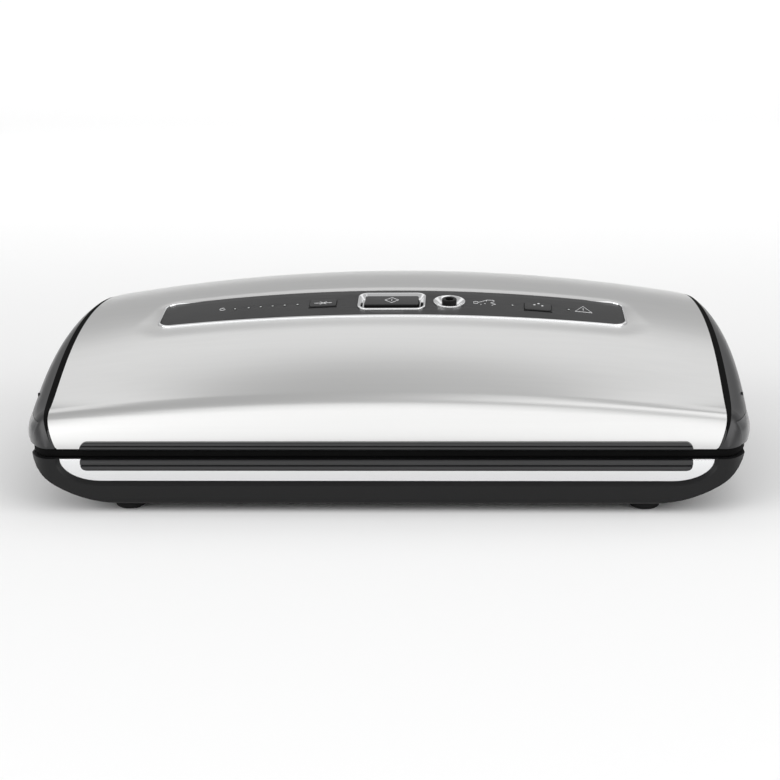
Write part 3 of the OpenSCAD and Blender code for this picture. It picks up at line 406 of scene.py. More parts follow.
def apply(thing, modifier):
    """Replaces an object's mesh by what its modifier makes, and takes the modifier off."""
    mesh = result_of(thing)
    thing.modifiers.remove(modifier)
    thing.data = mesh
    return thing


def as_plain(source, name, body, material_slot, smooth_angle=32.0):
    """The evaluated mesh of source as a finished piece that rides on a body."""
    mesh = result_of(source)
    bpy.data.objects.remove(source)
    piece = new_object(name, mesh)
    mesh.name = name
    for p in mesh.polygons:
        p.use_smooth = True
    mesh.set_sharp_from_angle(angle=math.radians(smooth_angle))
    mesh.materials.clear()
    mesh.materials.append(finishes[material_slot])
    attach(piece, body)
    print(name, len(mesh.polygons), "faces")
    return piece


# %% Eased edges
weld_distance, flat_angle, sharp_angle, bevel_steps = 2e-6, 0.4, 28.0, 2


def soften(node, edge_mm, look=None):
    """A piece with eased edges that stands for a CAD node; look is a finish other than its slot's."""
    source = nodes[node]
    work = new_object(node + "_work", source.data.copy())
    shape = bmesh.new()
    shape.from_mesh(work.data)
    bmesh.ops.remove_doubles(shape, verts=shape.verts, dist=weld_distance)
    bmesh.ops.dissolve_limit(shape, angle_limit=math.radians(flat_angle), verts=shape.verts, edges=shape.edges)
    shape.to_mesh(work.data)
    shape.free()
    bevel = work.modifiers.new("eased_edges", "BEVEL")
    bevel.width = edge_mm * MM
    bevel.segments = bevel_steps
    bevel.limit_method = "ANGLE"
    bevel.angle_limit = math.radians(sharp_angle)
    bevel.use_clamp_overlap = True
    piece = as_plain(work, node + "_eased", source["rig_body"], slot_of[node])
    if look:
        piece.data.materials[0] = finishes[look]
    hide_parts(node)
    return piece


def level(piece):
    """Lets the large flat faces of an eased piece set the normals up to their edges."""
    weigh = piece.modifiers.new("level_faces", "WEIGHTED_NORMAL")
    weigh.keep_sharp = True
    apply(piece, weigh)


# %% Soften the outer pieces
level(soften("base_shell", 0.8))
for node, edge in [("front_fascia", 0.2), ("lower_grip", 0.25), ("upper_grip", 0.25), ("control_panel", 0.15),
                   ("start_frame", 0.5), ("start_key", 0.5), ("seal_key", 0.15), ("food_key", 0.15),
                   ("port_dish", 0.2)]:
    soften(node, edge)
feet = ["foot_" + end + "_" + side for end in ("front", "rear") for side in ("left", "right")]
for node in feet + ["cord_bush", "base_deck", "drip_tray", "lid_liner"]:
    level(soften(node, 0.3))
soften("port_nozzle", 0.5, "nozzle_black")
# The lid frame shows only as the band between lid and base; its near-black matt look paints the shade in that band.
soften("lid_frame", 0.35, "painted_shade_black")

# %% [markdown]
# ## Geometry nodes
#
# What follows a rule, runs along a path or comes back many times is made by geometry nodes, because one changed
# number then changes every copy. Each tree is built in the script, takes its sizes through named inputs, and ends
# by making its copies real and giving them their material, since loose copies don't survive an export.

# %% Geometry node helpers
INTEGER = "NodeSocketInt"


def geometry_group(name, **inputs):
    """A geometry tree with named inputs; returns the tree and its two end nodes."""
    group = bpy.data.node_groups.new(name, "GeometryNodeTree")
    for label, kind in {"Geometry": "NodeSocketGeometry", **inputs, "Material": "NodeSocketMaterial"}.items():
        group.interface.new_socket(label.replace("_", " "), in_out="INPUT", socket_type=kind)
    group.interface.new_socket("Geometry", in_out="OUTPUT", socket_type="NodeSocketGeometry")
    return group, group.nodes.new("NodeGroupInput"), group.nodes.new("NodeGroupOutput")


def add(group, *kinds):
    """One new geometry node of each kind."""
    return [group.nodes.new("GeometryNode" + kind) for kind in kinds]


def finish_group(group, start, end, geometry):
    """Makes what is still a copy real, gives it the material, and hands it out."""
    real, dressed = add(group, "RealizeInstances", "SetMaterial")
    wire(group, (geometry, real.inputs[0]), (real.outputs[0], dressed.inputs["Geometry"]),
         (start.outputs["Material"], dressed.inputs["Material"]), (dressed.outputs[0], end.inputs["Geometry"]))
    return group


# %% Run a tree on an object
def run_group(work, group, material_slot, **values):
    """Puts a tree on an object, sets its inputs by name, and replaces the object's mesh by the result."""
    work.data.materials.append(finishes[material_slot])
    maker = work.modifiers.new("maker", "NODES")
    maker.node_group = group
    values["Material"] = finishes[material_slot]
    for label, value in values.items():
        socket = next(i for i in group.interface.items_tree
                      if i.item_type == "SOCKET" and i.in_out == "INPUT" and i.name == label.replace("_", " "))
        maker[socket.identifier] = value
    apply(work, maker)
    for label in ("crown_share", "hollow", "turn"):
        if label in work.data.attributes:
            work.data.attributes.remove(work.data.attributes[label])
    return work


# %% [markdown]
# ## The domed lid
#
# The lid is one sheet of brushed steel, crowned from side to side and bent over at the front and the back. It
# could be sculpted by eye, but a pressed sheet follows a rule: a side profile of three arcs, lowered by the crown's
# drop. It is the rule of the CAD sheet, in millimetres, so what sits on the lid can ask it for its height.

# %% The rule of the lid surface
body_w, body_d, body_h = 420.0, 232.0, 104.0
steel_low, face_in = 38.0, 2.5
side_r, corner_w, corner_d, rear_corner_w, rear_corner_d = 900.0, 16.0, 36.0, 30.0, 34.0
crown_r, dome_r, dome_y, front_r, roll_d, back_r = 1120.0, 300.0, 45.0, 60.0, 10.5, 22.0
cap_w, cap_thin, fade_l, back_turn = 14.3, 0.8, 18.0, 82.0
steel_side_r, steel_corner_w, steel_corner_d = 1900.0, 6.0, 8.0
lid_front, lid_back = -body_d / 2 + face_in, body_d / 2 - face_in + 0.5
widest_y = -body_d / 2 + corner_d
lid_ys, lid_ye = lid_front + corner_d, lid_back - rear_corner_d
print("lid from", lid_front, "to", lid_back, "mm, widest at", widest_y, "mm")


# %% Half widths and heights of the lid
def round_off(t):
    return np.sqrt(np.maximum(0, 1 - t * t))


def lid_half(y):
    """Half width of the lid at depth y."""
    front_t = np.maximum(0, (lid_ys - y) / corner_d)
    back_t = np.maximum(0, (y - lid_ye) / rear_corner_d)
    inner = np.clip(y, lid_ys, lid_ye)
    side = body_w / 2 - (inner - widest_y) ** 2 / (2 * side_r)
    return (side - corner_w * (1 - round_off(front_t)) - rear_corner_w * (1 - round_off(back_t))
            - (lid_ye - widest_y) / side_r * np.maximum(0, y - lid_ye))


def steel_side(y):
    return body_w / 2 - cap_w - (y - widest_y) ** 2 / (2 * steel_side_r)


def steel_half(y):
    """Half width of the steel sheet at depth y: its own tight corners in front, narrow caps behind."""
    front_t = np.maximum(0, (lid_front + steel_corner_d - y) / steel_corner_d)
    back_t = np.maximum(0, (y - lid_ye) / rear_corner_d)
    ahead = np.minimum(lid_half(y) - cap_thin, steel_side(y) - steel_corner_w * (1 - round_off(front_t)))
    rear_w = lid_half(lid_ye) - steel_side(lid_ye)
    behind = lid_half(y) - np.maximum(cap_thin, rear_w * round_off(back_t))
    return np.where(y < lid_ye, ahead, behind)


def crown_drop(x):
    return crown_r - np.sqrt(crown_r ** 2 - x * x)


def dome_arc(y):
    return body_h - dome_r + np.sqrt(dome_r ** 2 - (y - dome_y) ** 2)


def front_fade(y):
    return 1 - np.exp((lid_front - y) / fade_l)


def dome_z(x, y):
    return dome_arc(y) - crown_drop(x) * front_fade(y)


print("widest", round(2 * float(lid_half(widest_y)), 2), "mm, dome", dome_z(0.0, dome_y), "mm high")

# %% [markdown]
# The side profile comes first: a tight roll up from the front edge, the long dome, and the bend down the back. The
# rows next to the crease over the front edge are averaged a few times, which rounds it as a press tool does.

# %% The side profile
roll_rows, dome_rows, back_rows, dome_spacing = 26, 110, 22, 1.15
crease_passes, crease_reach = 14, 5


def side_profile():
    """Rows of depth, height and share of the crown, from the front edge to the foot of the back."""
    a = np.array([lid_front, steel_low])
    b = np.array([lid_front + roll_d, dome_arc(lid_front + roll_d)])
    chord = np.linalg.norm(b - a)
    way = (b - a) / chord
    middle = (a + b) / 2 + np.array([way[1], -way[0]]) * math.sqrt(front_r ** 2 - (chord / 2) ** 2)
    turn, centre = math.asin(chord / 2 / front_r), math.atan2(way[0], -way[1])
    rows = []
    for i in range(roll_rows):
        angle = centre + turn - 2 * turn * i / roll_rows
        y, z = middle[0] + front_r * math.cos(angle), middle[1] + front_r * math.sin(angle)
        rows.append([y, z, front_fade(y)])
    t = math.radians(back_turn)
    back_y, back_z = lid_back - back_r, dome_arc(lid_back - back_r * (1 - math.cos(t))) - back_r * math.sin(t)
    end_y = back_y + back_r * math.cos(t)
    for i in range(dome_rows + 1):
        y = b[0] + (end_y - b[0]) * (i / dome_rows) ** dome_spacing
        rows.append([y, dome_arc(y), front_fade(y)])
    for i in range(1, back_rows + 1):
        angle = t * (1 - i / back_rows)
        rows.append([back_y + back_r * math.cos(angle), back_z + back_r * math.sin(angle), 1.0])
    rows.append([lid_back, steel_low, 0.0])
    rows = np.array(rows)
    for _ in range(crease_passes):
        for k in range(roll_rows - crease_reach, roll_rows + crease_reach - 1):
            rows[k, :2] = 0.5 * rows[k, :2] + 0.25 * (rows[k - 1, :2] + rows[k + 1, :2])
    rows[:-1, 2] = np.where(rows[:-1, 0] < end_y, front_fade(rows[:-1, 0]), rows[:-1, 2])
    return rows


profile = side_profile()
print("profile rows", len(profile), "highest", round(profile[:, 1].max(), 2), "mm")

# %% [markdown]
# The control strip lies in a window of the sheet, and the sheet sinks a little towards it. Both need the strip's
# outline, so it is drawn once, with a margin that grows it.

# %% The outline of the control strip
panel_l, panel_d, panel_bow, panel_slant, panel_r, panel_y, bezel_w = 286.0, 41.0, 4.0, 0.5, 8.0, -1.5, 1.6


def arc_points(cx, cy, r, a0, a1, n):
    angles = np.radians(np.linspace(a0, a1, n + 1))
    return [(cx + r * math.cos(a), cy + r * math.sin(a)) for a in angles]


def panel_outline(grow):
    """Plan of the strip, grown by a margin: straight back edge, bowed front edge, slanted ends."""
    half, front, back, r = panel_l / 2 + grow, -panel_d / 2 - grow, panel_d / 2 + grow, panel_r + grow
    bow = [(t * (half - r), front + panel_bow * t * t) for t in np.linspace(-1, 1, 25)]
    points = (bow + arc_points(half - r, front + panel_bow + r, r, -84, -8, 6)
              + arc_points(half - r - panel_slant, back - r, r, 12, 90, 6)
              + arc_points(-half + r + panel_slant, back - r, r, 90, 168, 6)
              + arc_points(-half + r, front + panel_bow + r, r, 188, 264, 6))
    return np.array(points) + np.array([0, panel_y])


print("strip outline", len(panel_outline(0)), "points")


# %% Distance from an outline
def distance_outside(x, y, outline):
    """Distance in plan from points to a closed outline, negative inside it."""
    p = np.stack([x, y], -1)[..., None, :]
    a, b = outline, np.roll(outline, -1, axis=0)
    ab = b - a
    t = np.clip(((p - a) * ab).sum(-1) / (ab * ab).sum(-1), 0, 1)
    d = np.linalg.norm(p - (a + t[..., None] * ab), axis=-1).min(-1)
    py, px = p[..., 1], p[..., 0]
    crosses = (a[:, 1] > py) != (b[:, 1] > py)
    at = a[:, 0] + (py - a[:, 1]) / np.where(ab[:, 1] == 0, 1e-9, ab[:, 1]) * ab[:, 0]
    inside = (crosses & (px < at)).sum(-1) % 2 == 1
    return np.where(inside, -d, d)


# %% [markdown]
# The sheet is a grid whose points carry two values: their share of the crown and their depth in the pressed hollow.
# A geometry tree sinks every point by them. A Solidify modifier then gives the metal its thickness, and the window
# and the two hinge notches are cut out with exact booleans.

# %% The pressed hollow
def smooth_step(t):
    t = np.clip(t, 0, 1)
    return t * t * (3 - 2 * t)


hollow_depth, hollow_back, hollow_front, hollow_turn = 0.8, 6.0, 16.0, 36.0


def pressed_hollow(x, y):
    """Depth of the hollow round the strip; it reaches further in front than behind."""
    d = distance_outside(x, y, panel_outline(bezel_w))
    forward = smooth_step((panel_y + hollow_turn / 2 - y) / hollow_turn)
    return hollow_depth * (1 - smooth_step(d / (hollow_back + (hollow_front - hollow_back) * forward)))


# %% The tree that sinks the sheet
def build_crowned_sheet():
    """Sinks each point by its share of R - sqrt(R*R - x*x), the crown's drop, and by its own hollow."""
    group, start, end = geometry_group("crowned_sheet", Crown_radius=FLOAT)
    place, share, hollow, moved = add(group, "InputPosition", "InputNamedAttribute", "InputNamedAttribute",
                                      "SetPosition")
    parts, shift = (group.nodes.new(kind) for kind in ("ShaderNodeSeparateXYZ", "ShaderNodeCombineXYZ"))
    group.links.new(place.outputs[0], parts.inputs[0])
    put(share, Name="crown_share")
    put(hollow, Name="hollow")
    x, radius = parts.outputs["X"], start.outputs["Crown radius"]
    inside = field(group, "SUBTRACT", field(group, "MULTIPLY", radius, radius), field(group, "MULTIPLY", x, x))
    drop = field(group, "SUBTRACT", radius, field(group, "SQRT", inside))
    sink = field(group, "ADD", field(group, "MULTIPLY", drop, share.outputs["Attribute"]),
                 hollow.outputs["Attribute"])
    wire(group, (field(group, "MULTIPLY", sink, -1.0), shift.inputs["Z"]),
         (start.outputs["Geometry"], moved.inputs["Geometry"]), (shift.outputs[0], moved.inputs["Offset"]))
    return finish_group(group, start, end, moved.outputs[0])


# %% The steel sheet
sheet_columns, sheet_t, crowding = 220, 0.8, math.pi / 2 * 0.92


def steel_sheet():
    """The lid's sheet: rows of the profile, sunk by the crown, thickened inwards and levelled below."""
    shares = np.sin(np.linspace(-1, 1, sheet_columns + 1) * crowding) / math.sin(crowding)
    m, n = len(profile), len(shares)
    y, z, crown_share = (np.repeat(profile[:, k:k + 1], n, axis=1) for k in range(3))
    x = shares[None, :] * steel_half(y)
    faces = [(k * n + i, k * n + i + 1, (k + 1) * n + i + 1, (k + 1) * n + i)
             for k in range(m - 1) for i in range(n - 1)]
    sheet = make_mesh("steel_work", np.stack([x, y, z], -1).reshape(-1, 3) * MM, faces)
    for label, values in (("crown_share", crown_share), ("hollow", pressed_hollow(x, y) * MM)):
        carried = sheet.data.attributes.new(label, "FLOAT", "POINT")
        carried.data.foreach_set("value", values.ravel().astype(np.float32))
    run_group(sheet, build_crowned_sheet(), "steel", Crown_radius=crown_r * MM)
    wall = sheet.modifiers.new("sheet_metal", "SOLIDIFY")
    wall.thickness, wall.offset = sheet_t * MM, -1
    apply(sheet, wall)
    for v in sheet.data.vertices:
        v.co.z = max(v.co.z, steel_low * MM)
    return sheet


sheet = steel_sheet()
print("sheet", len(sheet.data.polygons), "faces before the cuts")

# %% Cutters
def prism(name, outline, low, high):
    """A closed prism over an outline in millimetres."""
    n = len(outline)
    points = [(p[0] * MM, p[1] * MM, z * MM) for z in (low, high) for p in outline]
    sides = [(i, (i + 1) % n, n + (i + 1) % n, n + i) for i in range(n)]
    return make_mesh(name, points, [tuple(range(n))[::-1], tuple(range(n, 2 * n))] + sides)


def block(x_a, x_b, y_a, y_b):
    """Corners of a rectangle in plan, its sides given in any order."""
    (x0, x1), (y0, y1) = sorted((x_a, x_b)), sorted((y_a, y_b))
    return np.array([[x0, y0], [x1, y0], [x1, y1], [x0, y1]])


def cut(target, cutter):
    """Takes the cutter out of the target with an exact boolean."""
    boolean = target.modifiers.new("cut", "BOOLEAN")
    boolean.operation = "DIFFERENCE"
    boolean.object = cutter
    boolean.solver = "EXACT"
    apply(target, boolean)
    bpy.data.objects.remove(cutter)


# %% Window and hinge notches
hinge_x, hinge_y, hinge_z, knuckle_r = 150.0, 112.0, 37.5, 5.0
knuckle_w, ear_w, hinge_gap, notch_gap, window_gap = 14.0, 5.5, 0.3, 0.5, 0.05
hinge_half = knuckle_w / 2 + hinge_gap + ear_w
cut(sheet, prism("window", panel_outline(bezel_w + window_gap), 60, 120))
for side in (-1, 1):
    reach = hinge_half + notch_gap
    notch = block(side * hinge_x - reach, side * hinge_x + reach, hinge_y - knuckle_r - notch_gap, 130)
    cut(sheet, prism("notch", notch, 30, hinge_z + knuckle_r + notch_gap))
steel = as_plain(sheet, "steel_dome", "lid", "steel", 40.0)
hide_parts("lid_skin")

# %% [markdown]
# ## End caps and release buttons
#
# The lid's ends are closed by glossy moulded caps that roll over from the edge of the steel to the straight side.
# Modelled by hand, they would part from the steel as soon as it changed. So they are lofts: one section, carried
# along the edge of the sheet. Each gets a pocket for its button and room for the hinge's ear.

# %% Loft helper
def outward(made):
    """Turns the faces of a closed mesh outwards."""
    shape = bmesh.new()
    shape.from_mesh(made.data)
    bmesh.ops.recalc_face_normals(shape, faces=shape.faces)
    shape.to_mesh(made.data)
    shape.free()
    return made


def loft(name, rings, side):
    """A closed mesh through rings with the same number of points; side -1 mirrors it to the left."""
    m, n = len(rings), len(rings[0])
    faces = [(j * n + i, j * n + (i + 1) % n, (j + 1) * n + (i + 1) % n, (j + 1) * n + i)
             for j in range(m - 1) for i in range(n)]
    faces += [tuple(range(n))[::-1], tuple((m - 1) * n + i for i in range(n))]
    return outward(make_mesh(name, np.concatenate(rings) * np.array([side, 1, 1]) * MM, faces))


# %% Section and edge of the end caps
cap_low = 0.2
section_in = np.array([0, 0.14, 0.27, 0.31, 0.35, 0.43, 0.52, 0.62, 0.72, 0.82, 0.90, 0.96, 1.0])
section_down = np.array([0.3, 0.46, 0.62, 0.78, 1.02, 1.6, 2.3, 3.25, 4.5, 6.05, 7.7, 9.3, 11.0])
edge_y = np.minimum(profile[:-1, 0], lid_back - 0.002)
edge_top = profile[:-1, 1] - profile[:-1, 2] * crown_drop(steel_half(edge_y))


def edge_section(y, top):
    """Inner and outer edge of the cap at a row, and how much of its section has room above the lid's foot."""
    return steel_half(y) + cap_low, lid_half(y), min(1.0, max(top - steel_low - 1, 0) / 12)


def cap_rings():
    rings = []
    for y, top in zip(edge_y[1:], edge_top[1:]):
        a, b, room = edge_section(y, top)
        face = [(a + (b - a) * s, y, top - d * room) for s, d in zip(section_in, section_down)]
        rings.append(np.array(face + [(b, y, steel_low), (a, y, steel_low)]))
    return rings


print("cap section", len(section_in) + 2, "points, carried over", len(edge_y) - 1, "rows")

# %% End caps
latch_l, latch_share, latch_out = 30.0, 0.8, 1.8
latch_y = widest_y - latch_l / 2 + 5
latch_in = body_w / 2 - 12
latch_h = latch_share * (np.interp(latch_y - latch_l / 2, edge_y, edge_top) - steel_low)
pocket_gap, pocket_inner, beyond, ear_gap = 0.3, 4.0, 20.0, 0.3


def cap_face(y, z):
    """Outer face of the cap at depth y and height z."""
    top = np.interp(y, edge_y, edge_top)
    a = steel_half(y) + cap_low
    return a + (lid_half(y) - a) * np.interp(top - z, section_down, section_in)


for side, label in ((-1, "left"), (1, "right")):
    cap = loft("cap_work", cap_rings(), side)
    half_l = latch_l / 2 + pocket_gap
    pocket = block(side * (latch_in - pocket_inner), side * (body_w / 2 + beyond),
                   latch_y - half_l, latch_y + half_l)
    cut(cap, prism("pocket", pocket, steel_low - 1, steel_low + latch_h + pocket_gap))
    ear_room = block(side * hinge_x, side * (hinge_x + hinge_half + ear_gap), hinge_y - 7, hinge_y + 8)
    cut(cap, prism("ear_room", ear_room, steel_low - 1, hinge_z + knuckle_r + ear_gap))
    piece = as_plain(cap, "end_cap_" + label + "_gloss", "lid", "gloss_black", 35.0)
    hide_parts("end_cap_" + label)

# %% [markdown]
# Along the step between steel and cap lies a near-black matt strip that paints the shade falling into the step. It
# follows the same edge, so it is one more loft, with a section of four points.

# %% Painted shade strips along the caps
edge_shade_tuck, edge_shade_share = 0.1, 0.27


def edge_shade_rings():
    """Rings of the painted shade strip, from the steel's edge to the crest of the cap."""
    rings = []
    for y, top in zip(edge_y[3:], edge_top[3:]):
        a, b, room = edge_section(y, top)
        inner, outer = a - edge_shade_tuck, a + (b - a) * edge_shade_share
        rings.append(np.array([(inner, y, top - 0.25), (outer, y, top - 0.54 * room),
                               (outer, y, top - 1.6 * room - 0.2), (inner, y, top - 1.4)]))
    return rings


for side, label in ((-1, "left"), (1, "right")):
    strip = loft("edge_shade_work", edge_shade_rings(), side)
    as_plain(strip, "steel_edge_painted_shade_" + label, "lid", "painted_shade_black", 40.0)

# %% [markdown]
# The release buttons fill the pockets of the caps, and swell out low down, where a finger finds them. They take
# the cap's own face and add the swell to it, so both surfaces meet evenly round the gap.

# %% Release buttons
button_rows, button_columns = 24, 14
swell_at, swell_share = [0, 0.25, 0.5, 0.75, 1], [0.6, 1, 0.95, 0.6, 0]


def button_rings():
    rings = []
    z0, z1 = steel_low + 0.2, steel_low + latch_h
    v = np.linspace(0, 1, button_columns + 1)
    z = z0 + (z1 - z0) * v
    for u in np.linspace(-1, 1, button_rows + 1):
        y = latch_y + u * latch_l / 2
        swell = latch_out * (1 - u ** 4) * np.interp(v, swell_at, swell_share)
        face = [(x + s, y, h) for x, s, h in zip(cap_face(y, z), swell, z)]
        rings.append(np.array([(latch_in, y, z0)] + face + [(latch_in, y, z1)]))
    return rings


for side, label in ((-1, "left"), (1, "right")):
    button = loft("button_work", button_rings(), side)
    piece = as_plain(button, "release_button_" + label + "_satin", "release_" + label, "button_grey", 40.0)
    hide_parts("release_button_" + label)

# %% [markdown]
# ## The control strip
#
# A thin chrome edge, on the real part a plated moulding or a rolled ring, holds the dark strip in the steel. A
# curve with a round section could make it, but this edge is flatter on the inside. So one section of eleven points
# is carried round the outline and lifted onto the dome.

# %% Chrome edge
panel_sink, key_rise, edge_gap = 0.5, 0.6, 0.02
edge_across = np.array([0, 0, 0.05, 0.14, 0.3, 0.5, 0.7, 0.86, 0.96, 1, 1])
edge_up = np.array([-1.9, -0.45, 0.08, 0.26, 0.36, 0.38, 0.34, 0.18, -0.1, -0.6, -1.9])


def chrome_edge():
    inner, outer = panel_outline(edge_gap), panel_outline(bezel_w)
    rings = []
    for share, height in zip(edge_across, edge_up):
        line = inner + (outer - inner) * share
        rings.append(np.column_stack([line, dome_z(line[:, 0], line[:, 1]) + height]))
    m, n = len(rings), len(inner)
    faces = [(j * n + i, j * n + (i + 1) % n, (j + 1) % m * n + (i + 1) % n, (j + 1) % m * n + i)
             for j in range(m) for i in range(n)]
    return outward(make_mesh("chrome_edge_work", np.concatenate(rings) * MM, faces))


edge = as_plain(chrome_edge(), "strip_chrome_edge", "lid", "bright_metal", 50.0)
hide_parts("panel_bezel")

# %% Places on the strip and on the keys
panel_tilt = math.asin((dome_y - panel_y) / dome_r)
start_x, seal_x, food_x = 0.0, -42.5, 90.0
lamp_xs = [-97.5, -89.0, -81.5, -74.0, -66.5, -58.5, 74.5, 109.0]


def strip_turn(x):
    """Tilt of the strip at x: forward with the dome, sideways with the crown."""
    return Matrix.Rotation(math.asin(x / crown_r), 4, "Y") @ Matrix.Rotation(panel_tilt, 4, "X")


def on_strip(x, y):
    return Vector((x, y, float(dome_z(x, y)) - panel_sink))


def on_key(key_x, along, back, up):
    """A point over a key: along and back from its middle, up from the dome."""
    middle = Vector((key_x, panel_y, float(dome_z(key_x, panel_y))))
    return middle + strip_turn(key_x).to_3x3() @ Vector((along, back, up))


print("strip leans forward by", round(math.degrees(panel_tilt), 2), "degrees")

# %% [markdown]
# The signs on the strip are printed in pale ink: a ring, a hose, a triangle, a diamond and a seal line. A picture
# would not follow the dome. So each line becomes a thin round cord, half sunk in the surface, by a tree that sweeps
# a small circle along edges. The signs on the keys move with their keys.

# %% Marks from lines
def build_cord_on_path():
    group, start, end = geometry_group("cord_on_path", Radius=FLOAT)
    path, section, sweep = add(group, "MeshToCurve", "CurvePrimitiveCircle", "CurveToMesh")
    put(section, Resolution=8)
    put(sweep, Fill_Caps=True)
    wire(group, (start.outputs["Geometry"], path.inputs[0]),
         (start.outputs["Radius"], section.inputs["Radius"]), (path.outputs[0], sweep.inputs[0]),
         (section.outputs[0], sweep.inputs[1]))
    return finish_group(group, start, end, sweep.outputs[0])


cord_on_path = build_cord_on_path()


def marks(name, lines, body, place, width=0.36, slot="print_pale"):
    """Thin cords along lists of plan points; place turns a plan point into space."""
    points, edges = [], []
    for line in lines:
        closed = line[0] == line[-1]
        line = line[:-1] if closed else line
        first = len(points)
        points += [place(*p) * MM for p in line]
        edges += [(first + i, first + i + 1) for i in range(len(line) - 1)]
        edges += [(first + len(line) - 1, first)] if closed else []
    mesh = bpy.data.meshes.new(name)
    mesh.from_pydata([tuple(p) for p in points], edges, [])
    cords = run_group(new_object(name + "_work", mesh), cord_on_path, slot, Radius=width / 2 * MM)
    as_plain(cords, name, body, slot)


# %% Printed marks
bold = 0.42
ring_mark = [arc_points(-105.5, 0, 1.7, 50, 350, 24)]
hose_mark = [[(50.5, -1.5), (53, -1.5), (53, 1.5), (50.5, 1.5), (50.5, -1.5)],
             [(53, 0), (56, 2.5), (58.5, 5), (63, 5)], [(58.5, 5), (58.5, 3)],
             [(63, 5), (63, 2.5), (61, 0.5), (64, -1.5), (61.5, -3.5)],
             [(54.5, -2.6), (55.3, -2.6)], [(57, -1.2), (57.8, -1.2)]]
sign_mark = [[(118, 6.2), (112.9, -3.3), (123.3, -3.3), (118, 6.2)],
             [(118, 2.6), (118, -0.2)], [(118, -1.5), (118.01, -1.7)]]
diamond_mark = [[(-4.2, 0), (0, 4.3), (4.2, 0), (0, -4.3), (-4.2, 0)], [(0, -1.4), (0, 1.4)]]
marks("strip_ring_mark", ring_mark, "lid", on_strip)
marks("strip_hose_mark", hose_mark, "lid", on_strip)
marks("strip_sign_mark", sign_mark, "lid", on_strip, bold)
marks("start_key_mark", diamond_mark, "start_key", lambda a, b: on_key(start_x, a, b, key_rise), bold)

# %% [markdown]
# The start key's sides and the front edges of the two flat keys lie in shade, which is painted with small pieces of
# their own: a near-black matt band round the start key's sides, and a dark cord sunk in the gap along the front
# edge of each flat key.

# %% Painted shade round the keys
start_w, start_d, start_r = 33.0, 14.5, 1.7
side_shade_grow, side_shade_low, side_shade_high = 0.04, -1.7, 0.05
gap_half, gap_y, gap_sink, gap_w = 8.7, -8.0, 0.2, 0.9


def key_side_shade():
    """A near-black matt band round the start key's sides, which paints their shade."""
    l, d, r = start_w / 2 + side_shade_grow, start_d / 2 + side_shade_grow, start_r + side_shade_grow
    corners = ((l - r, d - r, 0), (r - l, d - r, 90), (r - l, r - d, 180), (l - r, r - d, 270))
    line = [p for cx, cy, a in corners for p in arc_points(cx, cy, r, a, a + 90, 6)]
    n = len(line)
    points = [on_key(start_x, a, b, up) * MM for up in (side_shade_low, side_shade_high) for a, b in line]
    sides = [(i, (i + 1) % n, n + (i + 1) % n, n + i) for i in range(n)]
    return make_mesh("side_shade_work", points, sides + [tuple(range(n))[::-1], tuple(range(n, 2 * n))])


as_plain(key_side_shade(), "start_key_side_shade", "start_key", "painted_shade_black")
for name, key_x in (("seal_key_gap", seal_x), ("food_key_gap", food_x)):
    marks(name, [[(key_x + a, gap_y) for a in (-gap_half, 0, gap_half)]], "lid",
          lambda a, b: on_strip(a, b) - Vector((0, 0, gap_sink)), gap_w, "painted_shade_black")
marks("seal_key_mark", [[(-5.5, -0.8), (5.5, -0.8)], [(-2, 1.2), (0, -0.8), (2, 1.2)],
                        [(-2, -2.8), (0, -0.8), (2, -2.8)]], "seal_key", lambda a, b: on_key(seal_x, a, b, 0))

# %% [markdown]
# ## Repeated details
#
# Lamp rims, drops, screw recesses and tray ribs are the same small form many times over, and on the real object
# one tool makes them all. Copies made by hand would each have to be changed alone. So one geometry tree draws each
# kind: it sets copies of a unit on points, or along a row.

# %% Copies on points
def close_group(group, start, end, unit, points=None):
    """Copies of the unit on the points, each by the turn that its point carries."""
    copies, turn = add(group, "InstanceOnPoints", "InputNamedAttribute")
    turn.data_type = "FLOAT_VECTOR"
    put(turn, Name="turn")
    angles = group.nodes.new("FunctionNodeEulerToRotation")
    wire(group, (points or start.outputs["Geometry"], copies.inputs["Points"]),
         (unit, copies.inputs["Instance"]), (turn.outputs["Attribute"], angles.inputs[0]),
         (angles.outputs[0], copies.inputs["Rotation"]))
    return finish_group(group, start, end, copies.outputs[0])


# %% Discs and rings
def build_discs_on_points():
    group, start, end = geometry_group("discs_on_points", Radius=FLOAT, Height=FLOAT, Sides=INTEGER)
    disc, = add(group, "MeshCylinder")
    wire(group, (start.outputs["Radius"], disc.inputs["Radius"]),
         (start.outputs["Height"], disc.inputs["Depth"]), (start.outputs["Sides"], disc.inputs["Vertices"]))
    return close_group(group, start, end, disc.outputs["Mesh"])


def build_rings_on_points():
    group, start, end = geometry_group("rings_on_points", Radius=FLOAT, Thickness=FLOAT)
    ring, section, sweep = add(group, "CurvePrimitiveCircle", "CurvePrimitiveCircle", "CurveToMesh")
    put(ring, Resolution=32)
    put(section, Resolution=8)
    wire(group, (start.outputs["Radius"], ring.inputs["Radius"]),
         (start.outputs["Thickness"], section.inputs["Radius"]), (ring.outputs[0], sweep.inputs[0]),
         (section.outputs[0], sweep.inputs[1]))
    return close_group(group, start, end, sweep.outputs[0])


# %% Crosses and a row of bars
def build_crosses_on_points():
    group, start, end = geometry_group("crosses_on_points", Bar_size=VECTOR)
    bar, across, both = add(group, "MeshCube", "Transform", "JoinGeometry")
    put(across, Rotation=(0, 0, math.pi / 2))
    wire(group, (start.outputs["Bar size"], bar.inputs["Size"]),
         (bar.outputs["Mesh"], across.inputs["Geometry"]), (bar.outputs["Mesh"], both.inputs[0]),
         (across.outputs[0], both.inputs[0]))
    return close_group(group, start, end, both.outputs[0])


